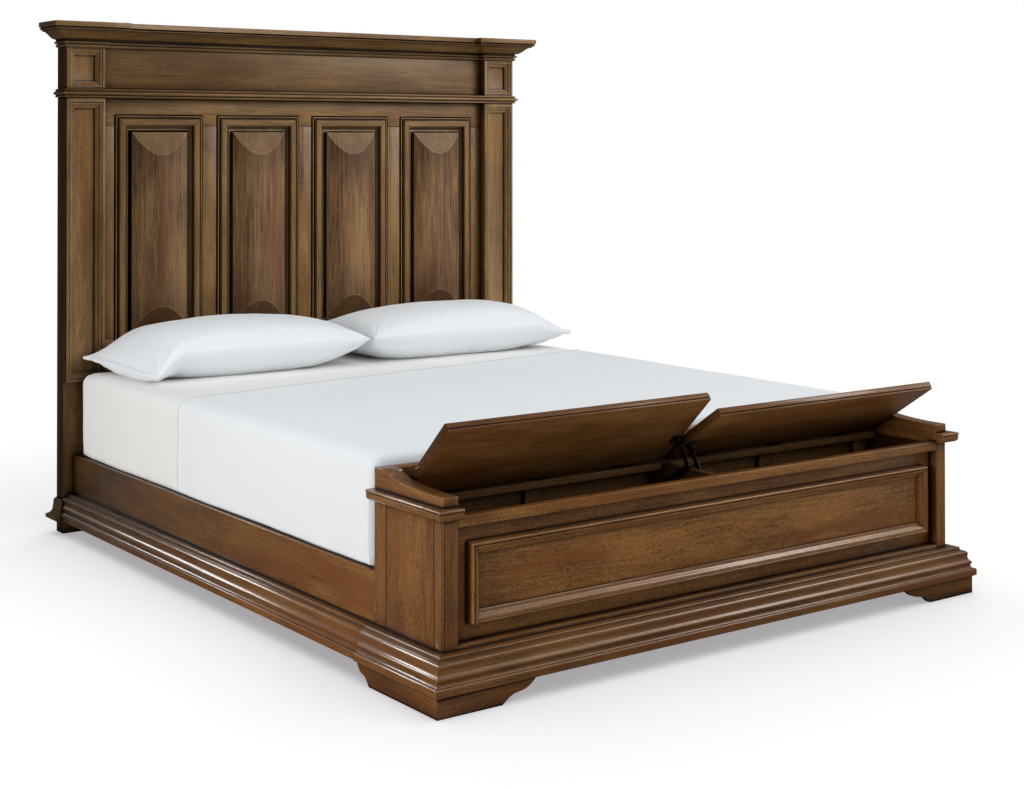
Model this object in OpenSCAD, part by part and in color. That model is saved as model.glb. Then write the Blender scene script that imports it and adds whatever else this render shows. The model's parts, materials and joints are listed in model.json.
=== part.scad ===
// Panelled storage bed: a tall headboard, side rails with slats, and a chest with two lids
// for a footboard. Units are millimetres. X runs across the bed, Y from foot to head, Z up.
// Places are measured from the front face of the footboard's posts, and place() then puts
// the origin on the floor under the middle of the bed.

/* [Mattress and bedding] */
// Width of the mattress
mattress_w = 1930; // [1370:10:2030]
// Length of the mattress
mattress_l = 2032; // [1880:1:2200]
// Height of the mattress above the slats
mattress_t = 338; // [250:1:400]
// Gap between the mattress and each side rail
mattress_gap = 7; // [3:1:20]
// How far the mattress swells out over each side rail
mattress_lap = 16; // [4:1:22]
// Radius of the mattress's upright corners
mattress_corner_r = 70; // [50:1:120]
// Radius of the mattress's top and bottom edges
mattress_edge_r = 38; // [20:1:45]
// Gap between the mattress and the footboard
foot_gap = 18; // [8:1:40]
// Gap between the mattress and the pilasters of the headboard
head_gap = 17; // [8:1:60]
// Thickness of the top sheet and blanket together
sheet_t = 3; // [2:0.5:6]
// Length of the top sheet along the left side, from the foot of the mattress
sheet_side_l = 1225; // [900:5:1400]
// How much longer the top sheet is at the middle of the bed
sheet_skew = 140; // [0:5:200]
// Length of each pillow across the bed
pillow_w = 966; // [600:1:975]
// Depth of each pillow along the bed
pillow_d = 485; // [400:1:520]
// Height of each pillow
pillow_h = 189; // [120:1:220]
// Height of each pillow's seam above the mattress
pillow_seam_h = 68; // [40:1:90]

/* [Headboard] */
// Width of each headboard post
head_post_w = 152; // [120:1:200]
// Thickness of each headboard post
head_post_t = 62; // [45:1:90]
// How far each headboard post stands out beyond the side rail
post_overhang = 42; // [20:1:60]
// Thickness of each pilaster
pilaster_t = 30; // [26:1:45]
// Height of the pilasters' lower ends
pilaster_z = 566; // [450:1:620]
// Plain border of a pilaster round its recess
pilaster_border = 10; // [6:1:16]
// Depth of a pilaster's recess
pilaster_recess = 21; // [14:0.5:22]
// How far the panelled frame lies behind the pilasters' faces
frame_setback = 35; // [31:1:48]
// Thickness of the panelled frame
frame_t = 28; // [24:1:40]
// Height of the top rail's face, from the panel openings up to the astragal
top_rail_h = 105; // [80:1:200]
// Height of the bottom of the panel openings
opening_bottom = 714; // [640:1:800]
// Number of raised panels
panel_count = 4; // [4:1:4]
// Visible width of the outer stiles, to the panel openings
stile_w = 95; // [85:1:120]
// Width of the upright muntins between the panels
muntin_w = 146; // [110:1:160]
// Height of the bottom rail under the panels
bottom_rail_h = 150; // [100:1:160]
// Height of the stretcher between the posts, low down
stretcher_h = 144; // [100:1:160]
// Thickness of a raised panel's tongue
panel_tongue_t = 10; // [8:1:12]
// Reach of the tongue into the frame on each side
panel_tongue_w = 8; // [5:1:12]
// Sunk margin beside a raised field
field_margin_x = 28.5; // [20:0.5:40]
// Sunk margin above and below a raised field
field_margin_z = 25.5; // [20:0.5:40]
// How far the edges of a raised field stand in front of the frame
field_edge = 8; // [4:1:12]
// Swell of the raised field's barrel from its edges to its middle
barrel_rise = 24.5; // [12:0.5:30]
// Length of the flat facet that cuts the barrel at its top and bottom
facet_l = 88; // [60:1:140]
// Width of the moulding round each panel
panel_moulding_w = 42; // [34:1:44]
// Height of the moulding round each panel
panel_moulding_t = 14; // [10:1:18]
// Width of the groove cut round the outside of each panel's moulding
moulding_quirk_w = 4.5; // [2:0.5:6]
// Depth of that groove
moulding_quirk_t = 4; // [2:0.5:8]
// Height of the underside of the astragal
astragal_z = 1631; // [1620:1:1650]
// Height of the astragal
astragal_h = 32; // [26:1:40]
// How far the astragal stands out
astragal_out = 17; // [10:1:24]
// Height of the underside of the crown
crown_z = 1819; // [1780:1:1900]
// Height of the crown's moulding
crown_moulding_h = 71; // [55:1:90]
// Thickness of the crown's top board
crown_cap_t = 22; // [16:1:30]
// How far the crown stands out
crown_out = 75; // [60:1:95]
// Projection of the moulding round the foot of each headboard post
head_base_out = 44; // [34:1:56]
// Height of the top of that moulding
head_base_top = 128; // [110:1:150]

/* [Side rails and slats] */
// Thickness of a side rail
rail_t = 28; // [24:1:36]
// Height of the top of the side rails
rail_top = 290; // [270:1:330]
// How much less the rail's moulding stands out than the footboard's
rail_moulding_setback = 5; // [3:1:12]
// Depth of the slats' tops below the tops of the rails
slat_drop = 28; // [16:1:60]
// Thickness of a slat
slat_t = 18; // [14:1:24]
// Width of a slat
slat_w = 90; // [60:1:110]
// Number of slats
slat_count = 14; // [8:1:15]
// Distance from the ends of the rails to the first and last slats
slat_end = 30; // [15:1:60]
// Clearance at each end of a slat
slat_clear = 3; // [1:1:6]
// Width of the ledger that carries the slats
cleat_w = 30; // [20:1:45]
// Height of the ledger that carries the slats
cleat_h = 38; // [25:1:50]
// Width of the centre beam
beam_w = 45; // [35:1:70]
// Height of the centre beam
beam_h = 88; // [70:1:110]
// Number of legs under the centre beam
leg_count = 3; // [2:1:4]
// Width of each centre leg
leg_w = 45; // [35:1:60]
// Height of a levelling foot's pad
pad_h = 12; // [8:1:16]
// Radius of a levelling foot's pad
pad_r = 19; // [14:1:24]
// Length of thread that shows above a levelling foot's pad
stem_show = 14; // [8:1:24]
// Radius of a levelling foot's thread
stem_r = 5; // [4:0.5:6]
// Length of a levelling foot's thread inside its leg
stem_in = 30; // [20:1:40]
// Thickness of a levelling foot's nut
nut_t = 5; // [3:0.5:8]
// Thickness of the steel brackets of the rails
bracket_t = 3; // [2:0.5:5]

/* [Footboard chest] */
// Depth of the chest, from the faces of its posts to its back
box_d = 330; // [300:1:420]
// Side of the square front posts
foot_post_w = 40; // [32:1:50]
// Width of the rear stile of each end
end_stile_w = 58; // [40:1:80]
// Thickness of an end panel
end_panel_t = 22; // [16:1:28]
// Thickness of the lining inside each end
lining_t = 9; // [6:1:12]
// Width of the V groove at each side of an end panel
groove_w = 2; // [1:0.5:3]
// Chamfer of each post's outer corner
post_chamfer = 4.5; // [2:0.5:8]
// Height of the undersides of the caps
cap_z = 486; // [440:1:540]
// Thickness of the caps
cap_t = 33; // [26:1:40]
// How far the caps stand out
cap_out = 30; // [20:1:40]
// Height of the arms at the front
arm_h = 27; // [18:1:40]
// Rise of the arms' scoop from front to back
arm_rise = 30; // [15:1:45]
// Length of the flat part of an arm at the front
arm_front = 40; // [20:1:60]
// Length of the flat part of an arm at the back
arm_back = 65; // [55:1:90]
// Thickness of the front rails
front_rail_t = 28; // [22:1:34]
// Height of the top front rail
front_rail_h = 27.5; // [20:0.5:45]
// Thickness of the sunk front board
front_board_t = 18; // [12:1:22]
// Height of the sill's top
sill_top = 158; // [148:1:180]
// Margin between the sunk front board's edges and the raised moulding
ground_margin_x = 42; // [25:1:80]
// Margin above and below the raised moulding
ground_margin_z = 45; // [25:1:70]
// Width of the raised moulding of the front
front_moulding_w = 35; // [28:1:44]
// Height of the raised moulding of the front
front_moulding_t = 32; // [24:1:36]
// Thickness of the front field inside the raised moulding
front_field_t = 11; // [6:1:14]
// Projection of the base moulding
base_out = 68; // [62:1:76]
// Height of the underside of the base moulding
base_z = 55; // [45:1:70]
// Height of the base moulding
base_h = 91.6; // [90:0.2:96]
// Setback of a bracket foot's face from the base moulding
bracket_setback = 10; // [4:1:14]
// Thickness of a bracket foot
bracket_foot_t = 22; // [16:1:26]
// Length of a bracket foot along the front
bracket_foot_l = 321; // [240:1:420]
// Length of the ogee that ends the foot along the front
bracket_ogee_l = 114; // [80:1:150]
// Length of the ogee that ends the foot along the side
side_ogee_l = 62; // [40:1:90]
// Thickness of the chest's bottom
bottom_t = 12; // [9:1:18]
// Height of the floor of the chest
chest_floor_z = 165; // [162:1:180]
// Thickness of the chest's back panel
back_t = 18; // [12:1:22]
// Thickness of the battens on the back panel
batten_t = 18; // [12:1:24]
// Width of the battens on the back panel
batten_w = 60; // [40:1:80]
// Thickness of the back rail that the arms meet
back_rail_t = 40; // [30:1:50]
// Depth of the hinge rail
hinge_rail_d = 40; // [34:1:46]
// Height of the hinge rail
hinge_rail_h = 21; // [16:1:30]
// Thickness of the partition
partition_t = 24; // [18:1:30]

/* [Lids and stays] */
// Thickness of a lid
lid_t = 26; // [20:1:27]
// How far the lids stand out in front of the posts
lid_overhang = 40; // [20:1:50]
// Gap between the two lids
lid_mid_gap = 4; // [2:1:8]
// Gap between a lid and a cap
lid_end_gap = 3; // [1:0.5:6]
// Gap between a closed lid and the rails below it
lid_seat_gap = 0.3; // [0.2:0.05:1]
// Distance from the hinge pin forward to the back of a lid
hinge_setback = 6; // [6:0.25:8]
// Distance from the hinge pin back to the back rail
hinge_to_rail = 24; // [23.5:0.5:30]
// Radius of a hinge barrel
barrel_r = 3.7; // [3.2:0.1:3.8]
// Radius of a hinge pin
hinge_pin_r = 1.8; // [1.4:0.1:2.2]
// Height of the hinge pin above the rail
hinge_pin_up = 4.3; // [4.2:0.05:5]
// Radial clearance of a pivot
pin_clear = 0.05; // [0.02:0.01:0.08]
// Thickness of a hinge leaf
leaf_t = 1.7; // [1.2:0.1:1.9]
// Length of a hinge
hinge_l = 60; // [45:1:90]
// Gap between neighbouring knuckles
knuckle_gap = 0.4; // [0.3:0.1:1]
// Number of hinges on each lid
hinge_count = 3; // [2:1:4]
// Opening of the left lid as it stands
left_open = 45; // [5:1:70]
// Opening of the right lid as it stands
right_open = 34; // [5:1:70]
// Distance from the hinge pin forward to the stay's pin on a lid
stay_reach = 115; // [95:1:130]
// Distance of the stay's pin below the hinge pin when a lid is shut
stay_drop = 18; // [16:1:24]
// Distance from the hinge pin forward to the stay's pivot on the partition
stay_base_y = 40; // [36:1:60]
// Distance from the hinge pin down to the stay's pivot on the partition
stay_base_z = 64; // [56:1:90]
// Width of a stay's arm
stay_w = 16; // [12:1:18]
// Thickness of a stay's arm
stay_t = 3; // [2:0.5:4]
// Radius of a stay's rivets
stay_pin_r = 3; // [2:0.5:4]
// Extra radial clearance at the stay's pin on a lid
stay_play = 0.2; // [0.1:0.05:0.4]

/* [Hidden] */
$fn = 48;

HEADBOARD_WOOD = "#6f5236";
FOOTBOARD_WOOD = "#7a4a2a";
INNER_WOOD = "#4a3424";
SLAT_WOOD = "#c9a878";
BLACK_STEEL = "#232323";
WHITE_COTTON = "#eeeeec";
soft_gap = 0.4;
cut = 1;

// Widths, as half widths from the middle of the bed
rail_in = mattress_w / 2 + mattress_gap;
bed_half = rail_in + rail_t;
head_half = bed_half + post_overhang;
post_in = head_half - head_post_w;
cap_in = bed_half - foot_post_w - lining_t;

// Places along the bed
mattress_y0 = box_d + foot_gap;
mattress_y1 = mattress_y0 + mattress_l;
pilaster_y = mattress_y1 + head_gap;
post_y = pilaster_y + pilaster_t;
head_back = post_y + head_post_t;
frame_y = pilaster_y + frame_setback;
frame_back = frame_y + frame_t;

// Panel openings of the headboard
opening_top = astragal_z - top_rail_h;
opening_w = (2 * post_in - 2 * stile_w - (panel_count - 1) * muntin_w) / panel_count;
opening_h = opening_top - opening_bottom;
opening_z = (opening_top + opening_bottom) / 2;
opening_pitch = opening_w + muntin_w;
crown_cap_z = crown_z + crown_moulding_h;
frieze_z = astragal_z + astragal_h;

// Heights of the side rails and slats
slat_z = rail_top - slat_drop;
cleat_z = slat_z - slat_t;
stem_z = pad_h + stem_show;

// Chest of the footboard
board_y = front_rail_t;
board_back = board_y + front_board_t;
lid_seat_z = cap_z + cap_t - lid_t - lid_seat_gap - 0.7;
lid_z = lid_seat_z + lid_seat_gap;
front_rail_z = lid_seat_z - front_rail_h;
front_h = front_rail_z - sill_top;
front_z = (front_rail_z + sill_top) / 2;
moulding_w = 2 * (cap_in - ground_margin_x);
moulding_h = front_h - 2 * ground_margin_z;
back_rail_y = box_d - back_rail_t;
back_y = box_d - back_t;
hinge_rail_y = back_rail_y - hinge_rail_d;
hinge_rail_z = lid_seat_z - hinge_rail_h;
arm_z = cap_z + cap_t;
arm_top = arm_z + arm_h + arm_rise;

// Lids, hinges and stays
hinge_y = back_rail_y - hinge_to_rail;
hinge_z = lid_seat_z + hinge_pin_up;
lid_back = hinge_y - hinge_setback;
lid_x0 = lid_mid_gap / 2;
lid_x1 = cap_in - lid_end_gap;
stay_base = [hinge_y - stay_base_y, hinge_z - stay_base_z];
stay_x = partition_t / 2;
arm_gap = 0.3;
lower_x = stay_x + leaf_t + arm_gap;
upper_x = lower_x + stay_t + arm_gap;
rivet_head_r = stay_pin_r + 3;
rivet_head_t = 1.5;

// A vector in Y and Z, after a lid has opened by an angle
function opened(v, angle) = [v[0] * cos(angle) + v[1] * sin(angle),
    v[1] * cos(angle) - v[0] * sin(angle)];

// Where a stay's elbow lies, with its lid open by an angle
function elbow(angle) = stay_base + opened([-stay_reach, -stay_drop], angle);

// Points of an arc about c, from angle a0 to a1
function arc(c, r, a0, a1, n = 6) =
    [for (i = [0:n]) let (a = a0 + (a1 - a0) * i / n) c + r * [cos(a), sin(a)]];

// Points of a quarter ellipse from a to b, level at a and upright at b
function cavetto(a, b, n = 6) =
    [for (i = [0:n]) let (t = 90 * i / n)
        [a[0] + (b[0] - a[0]) * sin(t), b[1] - (b[1] - a[1]) * cos(t)]];

// Points of an S curve from a to b, level at both ends
function cyma(a, b, n = 8) =
    [for (i = [0:n]) let (t = i / n)
        [a[0] + (b[0] - a[0]) * t, a[1] + (b[1] - a[1]) * (t - 0.8 * sin(360 * t) / (2 * PI))]];

// Moulding profiles are lists of [projection, height], from the bottom up
// A fascia, a cove, a bead, a hollow, a torus and a small bead on top
function base_profile(out) = concat(
    [[0, 0], [out - 6, 0], [out, 3], [out, 21], [out - 2, 24]],
    cavetto([out - 5, 24], [out - 14, 35], 4),
    arc([out - 17, 43], 6.5, -55, 70, 6),
    [[out - 18.5, 53], [out - 20.5, 60]],
    arc([out - 30, 70], 10.5, -25, 80, 7),
    [[out - 34, 82], [out - 37, 82.5], [out - 37, 84]],
    arc([out - 41, base_h - 3.4], 3.4, -40, 90, 5),
    [[0, base_h]]);

function head_base_profile(out, h) = concat(
    [[0, 0], [out - 8, 0], [out, 4], [out, 16]],
    cavetto([out - 3, 17], [16, h - 36]),
    [[13, h - 20]],
    arc([0, h - 13], 13, 10, 90, 5));

crown_profile = concat(
    cavetto([3, 0], [9, 8], 4),
    [[9, 10.5], [4, 11], [4, 14]],
    arc([11, 18], 4, -110, 80, 6),
    [[8, 22.5], [8, 29]],
    cyma([10, 30], [crown_out - 13, crown_moulding_h - 12]),
    [[crown_out - 13, crown_moulding_h - 7.5], [crown_out - 8, crown_moulding_h - 7]],
    arc([crown_out - 7, crown_moulding_h - 3.5], 3.5, -60, 60, 4),
    [[crown_out - 9, crown_moulding_h]]);

crown_cap_profile = concat(
    [[crown_out - 7, 0], [crown_out - 7, 2], [crown_out, 3]],
    [[crown_out, crown_cap_t - 3], [crown_out - 2, crown_cap_t]]);

// A bead between two fillets
astragal_profile = concat(
    [[astragal_out - 12, 0], [astragal_out - 8, 1.5], [astragal_out - 8, astragal_h / 5]],
    [[astragal_out - 11, astragal_h / 5 + 1]],
    arc([astragal_out - astragal_h / 5, astragal_h / 2], astragal_h / 5, -100, 100, 8),
    [[astragal_out - 11, astragal_h * 4 / 5 - 1], [astragal_out - 8, astragal_h * 4 / 5]],
    [[astragal_out - 8, astragal_h - 1.5], [astragal_out - 12, astragal_h]]);

cap_profile = concat([[0, 0], [cap_out - 14, 3]],
    arc([cap_out - 14, 15], 12, -80, 0, 4),
    [[cap_out - 2, cap_t - 10], [cap_out - 4, cap_t - 9.2]],
    arc([cap_out - 4.2, cap_t - 4.2], 4.2, -60, 90, 7));

// Edges of sunk recesses are lists of [distance in, depth]
pilaster_edge = concat([[0, 0], [0, 4], [3.5, 4], [3.5, 1.5]], cyma([4, 1.5], [18, 10]),
    [[20, 10], [20, 12], [24, 12.5], [24, pilaster_recess]]);

// Applied frames are lists of [distance in from the outer edge, height]
panel_moulding_profile = concat(
    [[moulding_quirk_w, -moulding_quirk_t], [moulding_quirk_w, 3]],
    arc([moulding_quirk_w + 2.6, 3], 2.6, 180, 20, 5),
    [[moulding_quirk_w + 6, 1.5], [moulding_quirk_w + 8.5, 1.5]],
    [[moulding_quirk_w + 11, 4.5], [moulding_quirk_w + 12, panel_moulding_t - 4]],
    [[moulding_quirk_w + 14, panel_moulding_t - 3], [moulding_quirk_w + 14, panel_moulding_t - 1]],
    [[moulding_quirk_w + 15, panel_moulding_t], [panel_moulding_w - 3, panel_moulding_t]],
    [[panel_moulding_w, panel_moulding_t - 3], [panel_moulding_w, -moulding_quirk_t]]);

// Moulding worked round the margin of each panel, on the board that carries the raised field:
// a cove, and a bead inside it. The bead's two sides meet in a narrow flat crest.
margin_bead_r = 3.4;
margin_bead_in = field_margin_z - 8;
margin_cove = cavetto([field_margin_z - 12, 6], [2, 11], 4);
margin_cove_profile = concat([[0, -1], [0, 12], [2, 12]],
    [for (i = [len(margin_cove) - 1:-1:0]) margin_cove[i]],
    [[margin_bead_in, 5], [margin_bead_in, -1]]);
margin_bead_outer = concat(
    arc([margin_bead_in, -7], margin_bead_r, -95, -180, 4),
    [[margin_bead_in - margin_bead_r, 1]]);
margin_bead_inner = concat([[margin_bead_in + 0.3, -12]],
    arc([margin_bead_in, -7], margin_bead_r, -85, 0, 4),
    [[margin_bead_in + margin_bead_r, 1 + cut]]);

front_moulding_profile = concat(
    [[0, 0], [2.5, front_moulding_t - 8]],
    arc([6.5, front_moulding_t - 4], 4, 180, 30, 6),
    [[11, front_moulding_t - 4], [12, front_moulding_t - 1]],
    cyma([14, front_moulding_t - 2], [front_moulding_w - 5, front_field_t + 7]),
    [[front_moulding_w - 5, front_field_t + 4], [front_moulding_w, front_field_t + 2]],
    [[front_moulding_w, 0]]);

// Shared shapes
module place() translate([0, (base_out - head_back) / 2, 0]) children();

module both() {
    children();
    mirror([1, 0, 0]) children();
}

module flip(side) mirror([side < 0 ? 1 : 0, 0, 0]) children();

module box(x, y, z) translate([x[0], y[0], z[0]]) cube([x[1] - x[0], y[1] - y[0], z[1] - z[0]]);

module along_x(x) translate([x[0], 0, 0]) rotate([90, 0, 90]) linear_extrude(x[1] - x[0]) children();

module along_y(y) translate([0, y[1], 0]) rotate([90, 0, 0]) linear_extrude(y[1] - y[0]) children();

// A block whose front and sides follow a moulding profile, and whose back is flat.
// sides says how much of the projection each of its two sides has.
module moulded_block(x, y, z, profile, sides = [1, 1]) {
    n = len(profile) - 1;
    far = max([for (p = profile) p[0]]) + cut;
    translate([0, 0, z]) intersection() {
        along_x([x[0] - far, x[1] + far]) polygon(concat(
            [for (p = profile) [y[0] - p[0], p[1]]],
            [[y[1], profile[n][1]], [y[1], profile[0][1]]]));
        along_y([y[0] - far, y[1]]) polygon(concat(
            [for (p = profile) [x[1] + sides[1] * p[0], p[1]]],
            [for (i = [n:-1:0]) [x[0] - sides[0] * profile[i][0], profile[i][1]]]));
    }
}

// Four mitred lengths of moulding, with outer size w by h, standing forward of the XZ plane.
// A height under 0 in the profile lies behind that plane.
module mitred_frame(w, h, profile) {
    wide = max([for (p = profile) p[0]]) + cut;
    tall = max([for (p = profile) p[1]]) + cut;
    deep = max([for (p = profile) -p[1]]) + cut;
    for (turn = [0:3]) {
        long = turn % 2 == 0 ? w : h;
        across = turn % 2 == 0 ? h : w;
        rotate([0, 90 * turn, 0]) translate([0, 0, -across / 2]) intersection() {
            along_x([-long / 2, long / 2]) polygon([for (p = profile) [-p[1], p[0]]]);
            along_y([-tall, deep]) polygon([[-long / 2, 0], [long / 2, 0],
                [long / 2 - wide, wide], [-long / 2 + wide, wide]]);
        }
    }
}

// A form of w by h whose four sides follow one profile, given as insets and depths
module tapered(w, h, side) {
    n = len(side) - 1;
    intersection() {
        translate([0, 0, -h / 2]) linear_extrude(h) polygon(concat(
            [for (p = side) [-w / 2 + p[0], p[1]]],
            [for (i = [n:-1:0]) [w / 2 - side[i][0], side[i][1]]]));
        along_x([-w / 2, w / 2]) polygon(concat(
            [for (p = side) [p[1], -h / 2 + p[0]]],
            [for (i = [n:-1:0]) [side[i][1], h / 2 - side[i][0]]]));
    }
}

// A recess of w by h sunk from the XZ plane, with a moulded edge all round
module recess(w, h, edge) tapered(w, h, concat([[0, -cut]], edge));

// Four crossing lengths of a moulding that only falls inwards, so they meet in true mitres
module crossed_frame(w, h, profile) for (turn = [0:3]) {
    long = turn % 2 == 0 ? w : h;
    across = turn % 2 == 0 ? h : w;
    rotate([0, 90 * turn, 0]) translate([0, 0, -across / 2])
        along_x([-long / 2, long / 2]) polygon([for (p = profile) [-p[1], p[0]]]);
}

// Headboard
module post_core() box([post_in, head_half], [post_y, head_back], [0, crown_cap_z]);

module headboard_post(side) color(HEADBOARD_WOOD) place() flip(side) post_core();

module pilasters() color(HEADBOARD_WOOD) place() both() {
    recess_w = head_post_w - 2 * pilaster_border;
    recess_z0 = pilaster_z + pilaster_border;
    recess_z1 = astragal_z - 1.7 * pilaster_border;
    difference() {
        box([post_in, head_half], [pilaster_y, post_y], [pilaster_z, astragal_z]);
        translate([(post_in + head_half) / 2, pilaster_y, (recess_z0 + recess_z1) / 2])
            recess(recess_w, recess_z1 - recess_z0, pilaster_edge);
    }
}

module corner_blocks() color(HEADBOARD_WOOD) place() both() {
    recess_w = head_post_w - 2 * pilaster_border;
    recess_z0 = frieze_z + pilaster_border / 2;
    recess_z1 = crown_z - pilaster_border / 2;
    difference() {
        box([post_in, head_half], [pilaster_y, post_y], [frieze_z, crown_cap_z]);
        translate([(post_in + head_half) / 2, pilaster_y, (recess_z0 + recess_z1) / 2])
            recess(recess_w, recess_z1 - recess_z0, pilaster_edge);
    }
}

module frieze_board() color(HEADBOARD_WOOD) place()
    box([-post_in, post_in], [frame_y, frame_back], [frieze_z, crown_cap_z]);

// What stands behind the headboard's mouldings, from the front of the posts back
module head_cores(z, block_y) {
    both() box([post_in, head_half], [block_y, head_back + cut], z);
    box([-post_in - cut, post_in + cut], [frame_y, head_back + cut], z);
}

module astragal() color(HEADBOARD_WOOD) place() difference() {
    moulded_block([-head_half, head_half], [pilaster_y, head_back], astragal_z, astragal_profile);
    head_cores([astragal_z - cut, frieze_z + cut], post_y);
}

// The crown breaks forward over the two pilasters
module crown_blocks(z, profile) {
    moulded_block([-post_in, post_in], [frame_y, head_back], z, profile);
    both() moulded_block([post_in, head_half], [pilaster_y, head_back], z, profile);
}

module crown_moulding() color(HEADBOARD_WOOD) place() difference() {
    crown_blocks(crown_z, crown_profile);
    head_cores([crown_z - cut, crown_cap_z + cut], pilaster_y);
}

module crown_cap() color(HEADBOARD_WOOD) place() crown_blocks(crown_cap_z, crown_cap_profile);

// Places of the panel openings, from the left
module at_opening(i) translate([(i - (panel_count - 1) / 2) * opening_pitch, 0, opening_z]) children();

// Grooves in the back of the frame for the panels' tongues
module panel_rebates() for (i = [0:panel_count - 1]) at_opening(i)
    box([-opening_w / 2 - panel_tongue_w, opening_w / 2 + panel_tongue_w],
        [frame_back - panel_tongue_t, frame_back + cut],
        [-opening_h / 2 - panel_tongue_w, opening_h / 2 + panel_tongue_w]);

// Grooves in the face of the frame round the panels' mouldings, which also sink into them
module moulding_beds() for (i = [0:panel_count - 1]) at_opening(i)
    box([-opening_w / 2 - panel_moulding_w, opening_w / 2 + panel_moulding_w],
        [frame_y - cut, frame_y + moulding_quirk_t],
        [-opening_h / 2 - panel_moulding_w, opening_h / 2 + panel_moulding_w]);

module headboard_top_rail() color(HEADBOARD_WOOD) place() difference() {
    box([-post_in, post_in], [frame_y, frame_back], [opening_top, frieze_z]);
    panel_rebates();
    moulding_beds();
}

module headboard_bottom_rail() color(HEADBOARD_WOOD) place() difference() {
    box([-post_in, post_in], [frame_y, frame_back], [opening_bottom - bottom_rail_h, opening_bottom]);
    panel_rebates();
    moulding_beds();
}

module headboard_stiles() color(HEADBOARD_WOOD) place() both() difference() {
    box([post_in - stile_w, post_in], [frame_y, frame_back], [opening_bottom, opening_top]);
    panel_rebates();
    moulding_beds();
}

module headboard_muntins() color(HEADBOARD_WOOD) place() difference() {
    for (i = [1:panel_count - 1]) translate([(i - panel_count / 2) * opening_pitch, 0, 0])
        box([-muntin_w / 2, muntin_w / 2], [frame_y, frame_back], [opening_bottom, opening_top]);
    panel_rebates();
    moulding_beds();
}

module panel_mouldings() color(HEADBOARD_WOOD) place() for (i = [0:panel_count - 1]) at_opening(i)
    translate([0, frame_y, 0])
        mitred_frame(opening_w + 2 * panel_moulding_w, opening_h + 2 * panel_moulding_w,
            panel_moulding_profile);

// A raised field is a slice of an upright barrel, cut at both ends by a flat facet that
// meets it in a lunette, on a board whose tongue lies in the frame's rebate.
module raised_panel(i) color(HEADBOARD_WOOD) place() at_opening(i) {
    half_w = opening_w / 2 - field_margin_x;
    half_h = opening_h / 2 - field_margin_z;
    edge_y = frame_y - field_edge;
    barrel = (half_w * half_w + barrel_rise * barrel_rise) / (2 * barrel_rise);
    tongue_y = frame_back - panel_tongue_t;
    box([-opening_w / 2 - panel_tongue_w, opening_w / 2 + panel_tongue_w], [tongue_y, frame_back],
        [-opening_h / 2 - panel_tongue_w, opening_h / 2 + panel_tongue_w]);
    translate([0, tongue_y, 0]) {
        crossed_frame(opening_w, opening_h, margin_cove_profile);
        difference() {
            tapered(opening_w, opening_h, margin_bead_outer);
            tapered(opening_w, opening_h, margin_bead_inner);
        }
    }
    intersection() {
        translate([0, edge_y - barrel_rise + barrel, -half_h])
            cylinder(r = barrel, h = 2 * half_h, $fn = 180);
        box([-half_w, half_w], [edge_y - barrel_rise - cut, tongue_y], [-half_h, half_h]);
        along_x([-half_w, half_w]) polygon([
            [edge_y, -half_h], [edge_y - barrel_rise, facet_l - half_h],
            [edge_y - barrel_rise - cut, facet_l - half_h],
            [edge_y - barrel_rise - cut, half_h - facet_l],
            [edge_y - barrel_rise, half_h - facet_l], [edge_y, half_h],
            [tongue_y, half_h], [tongue_y, -half_h]]);
    }
}

module headboard_stretcher() color(HEADBOARD_WOOD) place()
    box([-post_in, post_in], [frame_y, frame_back], [rail_top - stretcher_h, rail_top]);

module head_base_block() moulded_block([bed_half, head_half], [post_y, head_back], base_z,
    head_base_profile(head_base_out, head_base_top - base_z), [0, 1]);

module headboard_base() color(HEADBOARD_WOOD) place() both() difference() {
    head_base_block();
    post_core();
}

// Side rails and what they carry
module side_rail(side) color(FOOTBOARD_WOOD) place() flip(side)
    box([rail_in, bed_half], [box_d, post_y], [base_z, rail_top]);

module rail_mouldings() color(FOOTBOARD_WOOD) place() both() difference() {
    translate([bed_half, 0, base_z]) along_y([box_d, post_y])
        polygon(base_profile(base_out - rail_moulding_setback));
    head_base_block();
}

module slat_cleats() color(SLAT_WOOD) place() both()
    box([rail_in - cleat_w, rail_in], [box_d + slat_end, post_y - slat_end],
        [cleat_z - cleat_h, cleat_z]);

module slats() color(SLAT_WOOD) place() {
    first = box_d + slat_end;
    pitch = (post_y - slat_end - slat_w - first) / (slat_count - 1);
    half = rail_in - slat_clear;
    for (i = [0:slat_count - 1])
        box([-half, half], [first + i * pitch, first + i * pitch + slat_w], [cleat_z, slat_z]);
}

module centre_beam() color(SLAT_WOOD) place()
    box([-beam_w / 2, beam_w / 2], [box_d, frame_y], [cleat_z - beam_h, cleat_z]);

// Places of the legs under the centre beam
module at_legs() for (i = [1:leg_count])
    translate([0, box_d + (frame_y - box_d) * i / (leg_count + 1), 0]) children();

module support_legs() color(SLAT_WOOD) place() at_legs() difference() {
    box([-leg_w / 2, leg_w / 2], [-leg_w / 2, leg_w / 2], [stem_z, cleat_z - beam_h]);
    translate([0, 0, stem_z - cut]) cylinder(r = stem_r + pin_clear, h = stem_in + cut);
}

module levelling_feet() color(BLACK_STEEL) place() at_legs() {
    cylinder(r1 = pad_r, r2 = pad_r - 3, h = pad_h);
    cylinder(r = stem_r, h = stem_z + stem_in - cut);
    translate([0, 0, stem_z - nut_t]) cylinder(r = 1.8 * stem_r, h = nut_t, $fn = 6);
}

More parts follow.
